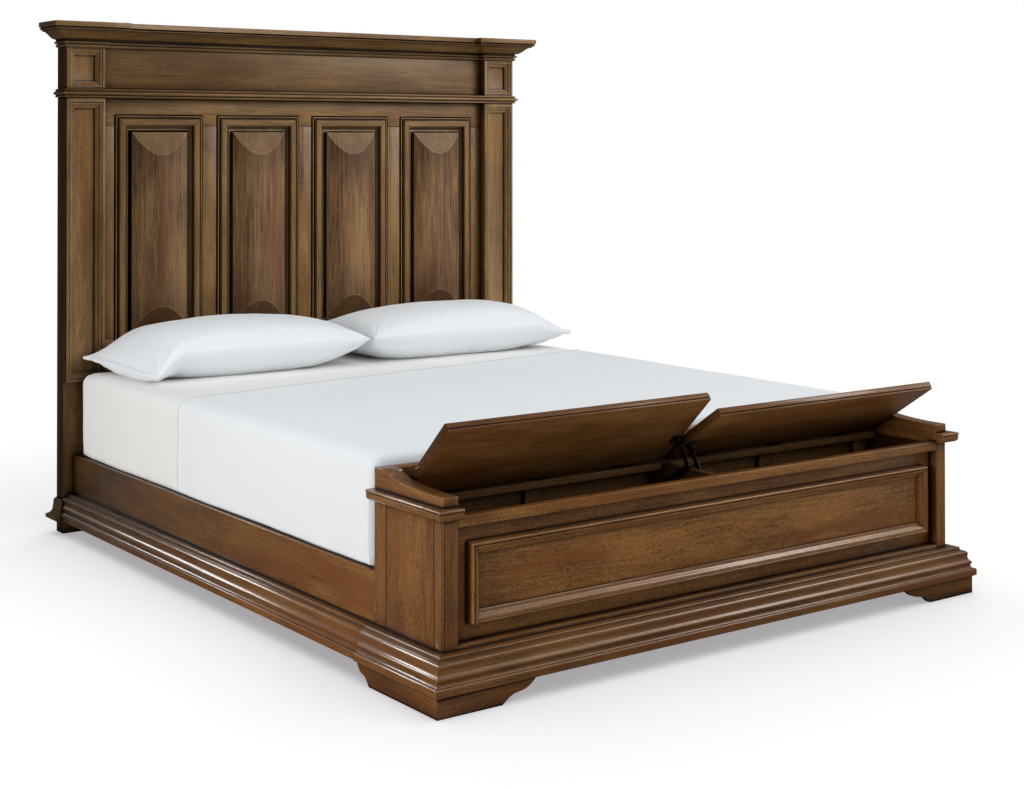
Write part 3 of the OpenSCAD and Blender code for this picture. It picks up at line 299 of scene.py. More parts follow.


# The worn colour pales the edges, partly as rubbed finish and partly as painted highlight
def stained_wood(name, pale, deep, patch, glaze_and_shade, worn_and_lit, rings=0.14, streaks=0.5, pores=0.2,
        curl=0.55, glaze_and_shade_share=0.96, wear_and_highlight_share=0.75, gloss=(0.4, 0.52), coat=0.55, coat_rough=0.13,
        dark_ends=0.0):
    material, tree, shader = new_material(name)
    board = added(tree, "ShaderNodeAttribute", attribute_name="board")
    figure = placed(tree, board_figure, Pale=pale, Deep=deep, Patch=patch, Rings=rings,
        Streaks=streaks, Pores=pores, Curl=curl)
    joined(tree, board.outputs["Vector"], figure.inputs["Board"])
    # The glaze colour also stands for painted shade in corners and recesses
    finish = placed(tree, glaze_shade_wear_and_highlight, Glaze=glaze_and_shade, Worn=worn_and_lit, Glaze_share=glaze_and_shade_share,
        Wear_share=wear_and_highlight_share)
    tone = figure.outputs["Color"]
    if dark_ends:
        where = added(tree, "ShaderNodeTexCoord")
        place = added(tree, "ShaderNodeSeparateXYZ")
        joined(tree, where.outputs["Object"], place.inputs[0])
        off_middle = maths(tree, "ABSOLUTE", maths(tree, "SUBTRACT", place.outputs[2], panel_middle))
        ends = spread(tree, off_middle, 0.32 * panel_half, 0.84 * panel_half, 0.0, dark_ends)
        tone = mixed(tree, ends, tone, deep)
    joined(tree, tone, finish.inputs["Color"])
    joined(tree, finish.outputs["Color"], shader.inputs["Base Color"])
    rough = spread(tree, figure.outputs["Matt"], 0, 1, gloss[0], gloss[1], smooth=False)
    rough = maths(tree, "MULTIPLY_ADD", finish.outputs["Corner"], 0.25, rough)
    joined(tree, rough, shader.inputs["Roughness"])
    shader.inputs["Specular IOR Level"].default_value = 0.2
    joined(tree, maths(tree, "MULTIPLY_ADD", finish.outputs["Corner"], -0.8 * coat, coat),
        shader.inputs["Coat Weight"])
    shader.inputs["Coat Roughness"].default_value = coat_rough
    bumped(tree, shader, figure.outputs["Height"], 0.16, 0.0006)
    return material


panel_low, panel_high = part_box("raised_panel_1")
panel_middle = (panel_low.z + panel_high.z) / 2
panel_half = (panel_high.z - panel_low.z) / 2
headboard_walnut = stained_wood("headboard walnut", (0.254, 0.139, 0.045), (0.054, 0.022, 0.004),
    (0.120, 0.051, 0.014), (0.005, 0.0025, 0.001), (0.42, 0.27, 0.13), coat=0.12, coat_rough=0.3)
frieze_walnut = stained_wood("frieze walnut", (0.205, 0.112, 0.036), (0.044, 0.018, 0.003),
    (0.098, 0.042, 0.012), (0.005, 0.0025, 0.001), (0.42, 0.27, 0.13), coat=0.12, coat_rough=0.3)
footboard_walnut = stained_wood("footboard walnut", (0.262, 0.113, 0.027), (0.054, 0.015, 0.002),
    (0.145, 0.043, 0.008), (0.005, 0.002, 0.001), (0.44, 0.27, 0.11), curl=0.65, coat_rough=0.10)
front_walnut = stained_wood("footboard front walnut", (0.345, 0.150, 0.033), (0.070, 0.020, 0.003),
    (0.185, 0.056, 0.009), (0.005, 0.002, 0.001), (0.48, 0.30, 0.12), curl=0.75, coat_rough=0.12)
foot_walnut = stained_wood("bracket foot walnut", (0.205, 0.080, 0.018), (0.040, 0.011, 0.0015),
    (0.110, 0.032, 0.006), (0.005, 0.002, 0.001), (0.36, 0.22, 0.09), curl=0.65, coat=0.35)
lid_walnut = stained_wood("lid walnut", (0.330, 0.148, 0.042), (0.075, 0.022, 0.004),
    (0.180, 0.052, 0.011), (0.006, 0.0025, 0.001), (0.36, 0.23, 0.11), coat=0.35)
panel_walnut = stained_wood("headboard panel walnut", (0.235, 0.128, 0.046), (0.040, 0.014, 0.004),
    (0.110, 0.038, 0.012), (0.005, 0.0025, 0.001), (0.40, 0.26, 0.12), streaks=1.0,
    gloss=(0.52, 0.64), coat=0.08, coat_rough=0.35, dark_ends=0.5)
# Copies of the panel walnut for the facets: a paler one as painted light on the upper facet, a darker one as
# painted shade on the lower
lit_facet_walnut = stained_wood("lit facet walnut", (0.192, 0.108, 0.037), (0.080, 0.038, 0.011),
    (0.130, 0.060, 0.020), (0.005, 0.0025, 0.001), (0.40, 0.26, 0.12), streaks=0.7,
    gloss=(0.55, 0.66), coat=0.05, coat_rough=0.35)
shaded_facet_walnut = stained_wood("shaded facet walnut", (0.105, 0.052, 0.017), (0.030, 0.011, 0.003),
    (0.060, 0.022, 0.006), (0.005, 0.0025, 0.001), (0.40, 0.26, 0.12), coat=0.05, coat_rough=0.35)
# Paler walnut on the raised fields' eased edges: partly rubbed finish, partly a painted highlight line
worn_and_lit_walnut = stained_wood("rubbed and highlighted walnut edge", (0.56, 0.40, 0.22), (0.32, 0.20, 0.10),
    (0.32, 0.19, 0.09), (0.05, 0.025, 0.01), (0.52, 0.37, 0.20), glaze_and_shade_share=0.3, coat=0.2)
joint_line = stained_wood("glazed joint", (0.018, 0.008, 0.003), (0.006, 0.0025, 0.001),
    (0.010, 0.004, 0.002), (0.004, 0.002, 0.001), (0.020, 0.009, 0.004), coat=0.0)
post_side = stained_wood("headboard side walnut", (0.085, 0.040, 0.010), (0.024, 0.009, 0.002),
    (0.045, 0.018, 0.004), (0.005, 0.0025, 0.001), (0.14, 0.08, 0.035), coat=0.0)
chest_wood = stained_wood("chest lining", (0.230, 0.118, 0.040), (0.062, 0.024, 0.006),
    (0.125, 0.050, 0.014), (0.008, 0.004, 0.0015), (0.30, 0.18, 0.08), gloss=(0.5, 0.62),
    glaze_and_shade_share=0.8, wear_and_highlight_share=0.3, coat=0.0)
slat_pine = stained_wood("planed pine", (0.72, 0.54, 0.34), (0.50, 0.31, 0.15),
    (0.62, 0.40, 0.22), (0.30, 0.20, 0.12), (0.76, 0.6, 0.42), rings=0.55, streaks=0.5,
    pores=0.0, glaze_and_shade_share=0.3, wear_and_highlight_share=0.2, gloss=(0.6, 0.72), coat=0.0)


def steel():
    material, tree, shader = new_material("black steel")
    where = added(tree, "ShaderNodeTexCoord")
    grit = noise_of(tree, where.outputs["Object"], 900, 3.0, 0.6)
    smear = noise_of(tree, where.outputs["Object"], 45, 3.0, 0.6)
    joined(tree, mixed(tree, smear, (0.016, 0.016, 0.017), (0.045, 0.044, 0.043)), shader.inputs["Base Color"])
    joined(tree, spread(tree, smear, 0.3, 0.7, 0.24, 0.38), shader.inputs["Roughness"])
    shader.inputs["Metallic"].default_value = 0.75
    bumped(tree, shader, grit, 0.12, 0.0002)
    return material


def cotton(name, pale, shade, threads, puff):
    material, tree, shader = new_material(name)
    weave = placed(tree, cotton_weave, Threads_per_metre=threads, Slub=0.5)
    where = added(tree, "ShaderNodeTexCoord")
    soft = noise_of(tree, where.outputs["Object"], puff, 2.0, 0.5)
    joined(tree, mixed(tree, weave.outputs["Tone"], shade, pale), shader.inputs["Base Color"])
    joined(tree, spread(tree, soft, 0.3, 0.7, 0.78, 0.92), shader.inputs["Roughness"])
    shader.inputs["Sheen Weight"].default_value = 0.15
    shader.inputs["Sheen Roughness"].default_value = 0.5
    fine = added(tree, "ShaderNodeBump")
    fine.inputs["Strength"].default_value = 0.1
    fine.inputs["Distance"].default_value = 0.0002
    joined(tree, weave.outputs["Height"], fine.inputs["Height"])
    fold = added(tree, "ShaderNodeBump")
    fold.inputs["Strength"].default_value = 0.25
    fold.inputs["Distance"].default_value = 0.01
    joined(tree, soft, fold.inputs["Height"])
    joined(tree, fine.outputs["Normal"], fold.inputs["Normal"])
    joined(tree, fold.outputs["Normal"], shader.inputs["Normal"])
    return material


black_steel = steel()
fitted_cotton = cotton("fitted sheet cotton", (0.905, 0.90, 0.885), (0.88, 0.875, 0.86), 1500, 5)
# Grey cotton for the hem: partly its stitched line, partly painted shade along the hem's step and edge
hem_stitch_and_shade_cotton = cotton("stitched hem with painted shade", (0.52, 0.52, 0.52), (0.46, 0.46, 0.46), 1500, 5)
sheet_cotton = cotton("sheet cotton", (0.885, 0.91, 0.935), (0.86, 0.885, 0.91), 1500, 5)
pillow_cotton = cotton("pillow cotton", (0.868, 0.892, 0.92), (0.842, 0.868, 0.90), 1500, 7)


# Mesh helpers
def only(piece):
    bpy.ops.object.select_all(action="DESELECT")
    piece.select_set(True)
    bpy.context.view_layer.objects.active = piece


def edit(piece):
    only(piece)
    bpy.ops.object.mode_set(mode="EDIT")
    bpy.ops.mesh.select_mode(type="FACE")
    bpy.ops.mesh.select_all(action="SELECT")


def done():
    bpy.ops.object.mode_set(mode="OBJECT")


def copied(node, name):
    piece = bpy.data.objects.new(name, nodes[node].data.copy())
    scene.collection.objects.link(piece)
    piece.data.materials.clear()
    edit(piece)
    bpy.ops.mesh.remove_doubles(threshold=0.00002)
    bpy.ops.mesh.dissolve_limited(angle_limit=math.radians(0.4))
    done()
    return piece


def finished(piece, *modifiers):
    only(piece)
    for modifier in modifiers:
        bpy.ops.object.modifier_apply(modifier=modifier.name)


def eased(piece, width, angle=32, segments=2, smooth=30, edge_slot=-1):
    """Rounds the sharp edges of a piece a little, and smooths what is curved."""
    if width:
        bevel = piece.modifiers.new("eased edges", "BEVEL")
        bevel.width = width
        bevel.segments = segments
        bevel.limit_method = "ANGLE"
        bevel.angle_limit = math.radians(angle)
        bevel.material = edge_slot
        finished(piece, bevel)
    only(piece)
    bpy.ops.object.shade_smooth_by_angle(angle=math.radians(smooth))


def islands(mesh):
    """The number of the separate solid that each vertex belongs to."""
    above = list(range(len(mesh.vertices)))

    def top(i):
        while above[i] != i:
            above[i] = above[above[i]]
            i = above[i]
        return i

    for edge in mesh.edges:
        above[top(edge.vertices[0])] = top(edge.vertices[1])
    numbers = {}
    return [numbers.setdefault(top(i), len(numbers)) for i in range(len(above))]


def lay_boards(piece, way, seed, part_of=None):
    """Stores where each corner lies in its own board, with the board's grain along X."""
    mesh = piece.data
    island = islands(mesh)
    boards = {}
    for face in mesh.polygons:
        part = part_of(face) if part_of else (way, 0)
        boards.setdefault((island[face.vertices[0]], *part), []).append(face)
    layer = mesh.attributes.new("board", "FLOAT_VECTOR", "CORNER")
    turn = {"X": (0, 1, 2), "Y": (1, 0, 2), "Z": (2, 0, 1)}
    for number, (key, faces) in enumerate(sorted(boards.items(), key=lambda pair: pair[0])):
        order = turn[key[1]]
        points = [mesh.vertices[v].co for face in faces for v in face.vertices]
        middle = [(min(p[k] for p in points) + max(p[k] for p in points)) / 2 for k in range(3)]
        start = Vector((5.3 * number + 17.1 * seed, 0.05 * math.sin(seed * 39.3 + number * 11.1),
            0.03 * math.sin(seed * 7.7 + number * 45.1)))
        for face in faces:
            for corner in face.loop_indices:
                p = mesh.vertices[mesh.loops[corner].vertex_index].co
                layer.data[corner].vector = Vector([p[k] - middle[k] for k in order]) + start


def given(piece, material, body="bed", slot=None, replaced=None):
    piece.data.materials.append(material)
    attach(piece, body)
    if replaced:
        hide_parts(replaced)


JOINT_HALF = 0.0007


def cut_mitre(piece, point, normal, keep):
    """Cuts the faces near a mitre along its joint, so that the grain can turn there."""
    across = Vector(normal).normalized()
    for shift in (-JOINT_HALF, JOINT_HALF):
        edit(piece)
        bpy.ops.mesh.select_all(action="DESELECT")
        tool = bmesh.from_edit_mesh(piece.data)
        for face in tool.faces:
            face.select = keep(face.calc_center_median()) or any(keep(v.co) for v in face.verts)
        bmesh.update_edit_mesh(piece.data)
        bpy.ops.mesh.bisect(plane_co=Vector(point) + shift * across, plane_no=normal)
        done()
    return Vector(point), across, keep


def show_joints(piece, joints):
    """Gives the narrow strips of face between the two lengths of each mitre a dark line."""
    piece.data.materials.append(joint_line)
    for face in piece.data.polygons:
        for point, across, keep in joints:
            if abs((face.center - point).dot(across)) < JOINT_HALF * 0.9 and keep(face.center):
                face.material_index = 1


# Which way the grain runs in each plain piece, how many mm its edges are eased, and what they show
HEADBOARD = {
    "headboard_post_left": ("Z", 1.6), "headboard_post_right": ("Z", 1.6), "pilasters": ("Z", 0.9),
    "corner_blocks": ("Z", 0.9), "astragal": ("X", 0.5),
    "crown_cap": ("X", 1.0), "headboard_top_rail": ("X", 1.4, joint_line),
    "headboard_bottom_rail": ("X", 1.4, joint_line), "headboard_stiles": ("Z", 1.4, joint_line),
    "headboard_muntins": ("Z", 1.4, joint_line), "headboard_stretcher": ("X", 1.0),
}
FRIEZE = {"frieze_board": ("X", 0.8)}
PANELS = {
    "raised_panel_1": ("Z", 2.3, worn_and_lit_walnut), "raised_panel_2": ("Z", 2.3, worn_and_lit_walnut),
    "raised_panel_3": ("Z", 2.3, worn_and_lit_walnut), "raised_panel_4": ("Z", 2.3, worn_and_lit_walnut),
}
FOOTBOARD = {
    "side_rail_left": ("Y", 1.5), "side_rail_right": ("Y", 1.5), "rail_mouldings": ("Y", 0.4),
    "footboard_posts": ("Z", 1.2, joint_line), "end_panel_left": ("Z", 1.2, joint_line),
    "end_panel_right": ("Z", 1.2, joint_line), "arms": ("Y", 1.6),
    "front_sill": ("X", 1.0), "back_rail": ("X", 1.5),
}
FRONT = {
    "front_top_rail": ("X", 1.0), "front_board": ("X", 0.5), "front_field": ("X", 0.5),
}
LININGS = {
    "end_linings": ("Y", 0.8), "box_bottom": ("X", 0.5), "box_back": ("X", 0.8),
    "back_battens": ("Z", 1.2), "partition": ("Y", 1.2), "hinge_rail": ("X", 0.8),
}
PINE = {
    "slat_cleats": ("Y", 1.2), "slats": ("X", 1.8), "centre_beam": ("Y", 1.8), "support_legs": ("Z", 1.5),
}
foot_end = bpy.data.collections.new("foot_end")
head_end = bpy.data.collections.new("head_end")


def dress(table, material, slot, carved=False):
    for number, (node, (way, ease, *edge)) in enumerate(table.items()):
        piece = copied(node, node + "_board")
        slot_number = 1 if edge else -1
        if edge:
            piece.data.materials.append(material)
            piece.data.materials.append(edge[0])
        eased(piece, ease / 1000, 5 if carved else 32, 2, 4 if carved else 30, slot_number)
        lay_boards(piece, way, number + (101 if carved else 1))
        if edge:
            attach(piece, "bed")
            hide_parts(node)
        else:
            given(piece, material, "bed", slot, node)
        if table in (FOOTBOARD, FRONT):
            foot_end.objects.link(piece)
        elif table in (HEADBOARD, FRIEZE, PANELS):
            head_end.objects.link(piece)


dress(HEADBOARD, headboard_walnut, "headboard_walnut")
dress(FRIEZE, frieze_walnut, "headboard_walnut")
dress(PANELS, panel_walnut, "headboard_walnut", carved=True)


def tone_facets(piece):
    """Gives the flat facet at each end of a raised field its own copy of the walnut: paler on the upper one as
    painted light, darker on the low one as painted shade.
    """
    for slot_number, up, facet_light in ((2, 1, lit_facet_walnut), (3, -1, shaded_facet_walnut)):
        piece.data.materials.append(facet_light)
        alike = {}
        for face in piece.data.polygons:
            if face.normal.y < -0.7 and face.normal.z * up > 0.03:
                alike.setdefault(round(face.normal.z, 3), []).append(face)
        for face in max(alike.values(), key=lambda faces: sum(f.area for f in faces)):
            face.material_index = slot_number


for node in PANELS:
    tone_facets(bpy.data.objects[node + "_board"])


# The outermost side faces of the headboard are given a much darker walnut than its front
def darken_sides(*names):
    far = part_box("headboard_post_right")[1].x
    for name in names:
        piece = bpy.data.objects[name]
        piece.data.materials.append(post_side)
        for face in piece.data.polygons:
            if abs(face.normal.x) > 0.8 and abs(face.center.x) > far - 0.002:
                face.material_index = 1


darken_sides("headboard_post_left_board", "headboard_post_right_board", "pilasters_board",
    "corner_blocks_board")
dress(FOOTBOARD, footboard_walnut, "footboard_walnut")
dress(FRONT, front_walnut, "footboard_walnut")
dress(LININGS, chest_wood, "inner_wood")
dress(PINE, slat_pine, "slat_pine")


# Mouldings whose lengths meet in mitres
def around(low, high):
    """For a frame standing in the XZ plane, says which of its four lengths a place is in."""
    def part(face):
        p = face.center
        ends = [p.x - low.x, high.x - p.x, p.z - low.z, high.z - p.z]
        side = ends.index(min(ends))
        return ("Z" if side < 2 else "X", side)
    return part


def mitred_frame(node, seed, material, slot, ease):
    low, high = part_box(node)
    piece = copied(node, node + "_board")
    island = islands(piece.data)
    corners = []
    for number in set(island):
        points = [v.co.copy() for v, i in zip(piece.data.vertices, island) if i == number]
        corners.append((Vector([min(p[k] for p in points) for k in range(3)]),
            Vector([max(p[k] for p in points) for k in range(3)])))
    corners.sort(key=lambda pair: pair[0].x)
    joints = []
    for a, b in corners:
        for x, z, slope in ((a.x, a.z, -1), (b.x, a.z, 1), (a.x, b.z, 1), (b.x, b.z, -1)):
            def near(p, x=x, z=z):
                return abs(p.x - x) < 0.06 and abs(p.z - z) < 0.06
            joints.append(cut_mitre(piece, (x, a.y, z), (1, 0, slope), near))
    eased(piece, ease / 1000)

    def part(face):
        for number, (a, b) in enumerate(corners):
            if a.x - 0.001 <= face.center.x <= b.x + 0.001:
                way, side = around(a, b)(face)
                return (way, side + 4 * number)
        return ("X", 0)

    lay_boards(piece, "X", seed, part)
    given(piece, material, "bed", slot, node)
    show_joints(piece, joints)


mitred_frame("panel_mouldings", 31, headboard_walnut, "headboard_walnut", 0.3)
mitred_frame("front_moulding", 32, front_walnut, "footboard_walnut", 0.4)
head_end.objects.link(bpy.data.objects["panel_mouldings_board"])
foot_end.objects.link(bpy.data.objects["front_moulding_board"])


def returned(half, front):
    """For a moulding that runs along the front and back down both sides of a core."""
    def part(face):
        p = face.center
        if abs(p.x) - half > front - p.y:
            return ("Y", 1 if p.x > 0 else 2)
        return ("X", 0)
    return part


def returned_moulding(node, half, front, seed, material, slot, ease):
    piece = copied(node, node + "_board")
    joints = []
    for side in (-1, 1):
        def near(p, side=side):
            return abs(p.x - side * half) < 0.12 and p.y < front + 0.02
        joints.append(cut_mitre(piece, (side * half, front, 0), (side, 1, 0), near))
    eased(piece, ease / 1000)
    lay_boards(piece, "X", seed, returned(half, front))
    given(piece, material, "bed", slot, node)
    show_joints(piece, joints)


returned_moulding("footboard_base", bed_half, posts_y, 33, footboard_walnut, "footboard_walnut", 0.5)
returned_moulding("footboard_caps", bed_half, posts_y, 34, footboard_walnut, "footboard_walnut", 1.2)
returned_moulding("bracket_feet", bed_half, posts_y, 35, foot_walnut, "footboard_walnut", 1.4)
for node in ("footboard_base", "footboard_caps", "bracket_feet"):
    foot_end.objects.link(bpy.data.objects[node + "_board"])
post_low, post_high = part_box("headboard_post_right")
returned_moulding("headboard_base", post_high.x, post_low.y, 36, headboard_walnut, "headboard_walnut", 0.5)
pilaster_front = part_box("pilasters")[0].y
returned_moulding("crown_moulding", post_high.x, pilaster_front, 37, headboard_walnut, "headboard_walnut", 0.4)

for side in ("left", "right"):
    lid = copied("lid_" + side, "lid_" + side + "_board")
    eased(lid, 0.0012)
    lay_boards(lid, "X", 41 if side == "left" else 42)
    given(lid, lid_walnut, "lid_" + side, "footboard_walnut", "lid_" + side)

STEEL = {
    "rail_brackets": "bed", "levelling_feet": "bed", "fixed_hardware": "bed",
    "lid_left_hardware": "lid_left", "lid_right_hardware": "lid_right",
    "stay_left_lower": "stay_left_lower", "stay_left_upper": "stay_left_upper",
    "stay_right_lower": "stay_right_lower", "stay_right_upper": "stay_right_upper",
}
for node, body in STEEL.items():
    part = copied(node, node + "_steel")
    eased(part, 0.00025)
    given(part, black_steel, body, "black_steel", node)


# Bedding
bedding = bpy.data.collections.new("bedding")
mattress_top = mattress_high.z
hem_left = 0.3625
hem_slope = 0.140 / 1.048


def moved(piece, shift):
    """Moves each vertex by what shift gives for its place and its normal."""
    mesh = piece.data
    normals = [v.normal.copy() for v in mesh.vertices]
    for vertex, normal in zip(mesh.vertices, normals):
        vertex.co += shift(vertex.co.copy(), normal)
    mesh.update()


def wave(p, size, seed=0.0):
    return noise.noise(p / size + Vector((seed, seed * 1.7, seed * 0.6)))


def remeshed(piece, voxel):
    remesh = piece.modifiers.new("even cloth", "REMESH")
    remesh.mode = "VOXEL"
    remesh.voxel_size = voxel
    remesh.use_smooth_shade = True
    finished(piece, remesh)


def slack(p, normal):
    """How the fitted sheet lies on the mattress: faint hollows, and gathers low on the sides."""
    lift = 0.0022 * wave(p, 0.34) + 0.0008 * wave(p, 0.11, 3)
    if abs(normal.z) < 0.6:
        along = p.x if abs(normal.y) > abs(normal.x) else p.y
        low = max(0.0, 1 - (p.z - 0.29) / 0.16)
        pleat = noise.noise(Vector((along / 0.03, p.z / 0.4, 7.0)))
        lift += 0.0016 * low * pleat + 0.0012 * noise.noise(Vector((along / 0.09, p.z / 0.5, 2.0)))
    return normal * lift


def corner_reach(way, wide, tight):
    """How far a corner zone of a given width reaches along a direction, with a tighter radius."""
    across, up = abs(math.cos(way)), abs(math.sin(way))
    flat = wide - tight
    if min(across, up) / max(across, up) * wide <= flat:
        return wide / max(across, up)
    along = flat * (across + up)
    return along + math.sqrt(along * along - 2 * flat * flat + tight * tight)


def squared(p, normal):
    """Draws the sheet's upright corners out to a tighter radius than the mattress's own."""
    wide = 0.07
    middle = (mattress_low + mattress_high) / 2
    half_x = (mattress_high.x - mattress_low.x) / 2 - wide
    half_y = (mattress_high.y - mattress_low.y) / 2 - wide
    out_x, out_y = abs(p.x - middle.x) - half_x, abs(p.y - middle.y) - half_y
    to_head = Vector((0, 0.010 * min(1.0, max(0.0, (p.y - mattress_high.y + 0.2) / 0.2)), 0))
    if out_x <= 0 or out_y <= 0:
        return to_head
    grow = corner_reach(math.atan2(out_y, out_x), wide, 0.024) / wide - 1
    return to_head + grow * Vector((math.copysign(out_x, p.x - middle.x),
        math.copysign(out_y, p.y - middle.y), 0))


def lowered(p, normal):
    """Draws the sheet's edge above the side rails down and out to a tighter radius."""
    wide, tight, corner = 0.038, 0.012, 0.07
    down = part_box("side_rail_left")[1].z + 0.002 + wide - p.z
    if down <= 0 or down > wide + 0.001:
        return Vector()
    inner = Vector((max(mattress_low.x + corner, min(mattress_high.x - corner, p.x)),
        max(mattress_low.y + corner, min(mattress_high.y - corner, p.y)), 0))
    out = Vector((p.x, p.y, 0)) - inner
    reach = out.length - (corner - wide)
    if reach <= 0.001:
        return Vector()
    grow = corner_reach(math.atan2(down, reach), wide, tight) / wide - 1
    return grow * (reach * out.normalized() - Vector((0, 0, down)))


def fitted_mattress():
    piece = copied("mattress", "mattress_in_fitted_sheet")
    remeshed(piece, 0.014)
    moved(piece, lowered)
    moved(piece, squared)
    moved(piece, slack)
    only(piece)
    bpy.ops.object.shade_smooth()
    given(piece, fitted_cotton, "bed", "white_cotton", "mattress")
    bedding.objects.link(piece)
    return piece


def foot_corner(p):
    """Place across the foot-left corner of the mattress, as an angle, and 0 elsewhere."""
    middle = Vector((mattress_low.x + 0.07, mattress_low.y + 0.07))
    away = Vector((p.x - middle.x, p.y - middle.y))
    if away.x > 0.01 or away.y > 0.01:
        return None
    return math.degrees(math.atan2(-away.y, -away.x))


def top_sheet_over(mattress):
    piece = bpy.data.objects.new("top_sheet_cloth", mattress.data.copy())
    scene.collection.objects.link(piece)
    piece.data.materials.clear()
    edit(piece)
    hem_normal = Vector((-hem_slope, 1, 0)).normalized()
    hem_point = Vector((0, hem_left + 0.140, 0))
    bpy.ops.mesh.bisect(plane_co=hem_point, plane_no=hem_normal, clear_outer=True)
    bpy.ops.mesh.select_all(action="SELECT")
    bpy.ops.mesh.bisect(plane_co=hem_point - 0.014 * hem_normal, plane_no=hem_normal)
    bpy.ops.mesh.select_all(action="SELECT")
    bpy.ops.mesh.bisect(plane_co=hem_point - 0.0165 * hem_normal, plane_no=hem_normal)
    done()

    def drape(p, normal):
        out = 0.0012
        if (p - hem_point).dot(hem_normal) > -0.0145:
            out += 0.0012
        around = foot_corner(p)
        if around is not None and normal.z < 0.5:
            fade = min(1.0, max(0.0, (mattress_top - 0.02 - p.z) / 0.12))
            out += 0.0075 * fade * math.exp(-((around - 38) / 7) ** 2)
            out -= 0.0009 * fade * math.exp(-((around - 55) / 6) ** 2)
        return normal * (out + 0.0009 * (1 + wave(p, 0.06, 9)))

    moved(piece, drape)
    edit(piece)
    bpy.ops.mesh.bisect(plane_co=(0, 0, 0.300), plane_no=(0, 0, 1), clear_inner=True)
    done()
    thick = piece.modifiers.new("cloth", "SOLIDIFY")
    thick.thickness = 0.0014
    thick.offset = 1
    finished(piece, thick)
    only(piece)
    bpy.ops.object.shade_smooth_by_angle(angle=math.radians(45))
    given(piece, sheet_cotton, "bed", "white_cotton", "top_sheet")
    # The strip behind the hem and the hem's edge turn grey: stitching and painted shade of the step
    piece.data.materials.append(hem_stitch_and_shade_cotton)
    for face in piece.data.polygons:
        back = (hem_point - face.center).dot(hem_normal)
        if 0.0138 < back < 0.0167 or back < 0.0006:
            face.material_index = 1
    bedding.objects.link(piece)
    return piece


def settled(piece, pressure, frames, cap):
    """Lets the stuffing crease the case with cloth simulation, by a few millimetres at most."""
    before = [v.co.copy() for v in piece.data.vertices]
    cloth = piece.modifiers.new("stuffed case", "CLOTH")
    cloth.settings.quality = 5
    cloth.settings.mass = 0.25
    cloth.settings.tension_stiffness = 15
    cloth.settings.compression_stiffness = 10
    cloth.settings.shear_stiffness = 5
    cloth.settings.bending_stiffness = 0.4
    cloth.settings.use_pressure = True
    cloth.settings.uniform_pressure_force = pressure
    cloth.settings.effector_weights.gravity = 0
    cloth.collision_settings.use_collision = False
    cloth.point_cache.frame_start = 1
    cloth.point_cache.frame_end = frames
    for frame_number in range(1, frames + 1):
        scene.frame_set(frame_number)
    finished(piece, cloth)
    scene.frame_set(1)
    for vertex, start in zip(piece.data.vertices, before):
        step = vertex.co - start
        if step.length > cap:
            vertex.co = start + step * (cap / step.length)
    piece.data.update()


def swell(t, power, root):
    return max(0.0, 1 - min(1.0, abs(t)) ** power) ** root


def pillow_place(u, v, upper, tall, hem_front, hem_back, askew):
    """Where a point of a pillow lies, in half lengths and metres of height above the mattress."""
    drop = min(1.0, max(0.0, (-u - 0.6) / 0.4))
    drop = drop * drop * (3 - 2 * drop)
    hem = hem_front + (hem_back - hem_front) * (v + 1) / 2
    seam = 0.107 * (1 - drop) + hem * drop
    length = u if u > 0 else u / 0.93
    if upper:
        z = seam + 0.003 + (tall - 0.110) * swell(length, 2.7, 0.68) * swell(v, 2.3, 0.66)
    else:
        z = max(0.0008, seam - 0.003 - 0.118 * swell(length, 3.4, 0.55) * swell(v, 2.4, 0.6))
    inner, outer = max(0.0, u) ** 6, max(0.0, -u) ** 3
    x = u * (1 - 0.032 * (1 - v * v) * inner - askew * outer * (1 - v) / 2)
    y = v * (1 - 0.03 * inner) * (1 - 0.03 * (1 - u * u) * v * v)
    return x, y, z


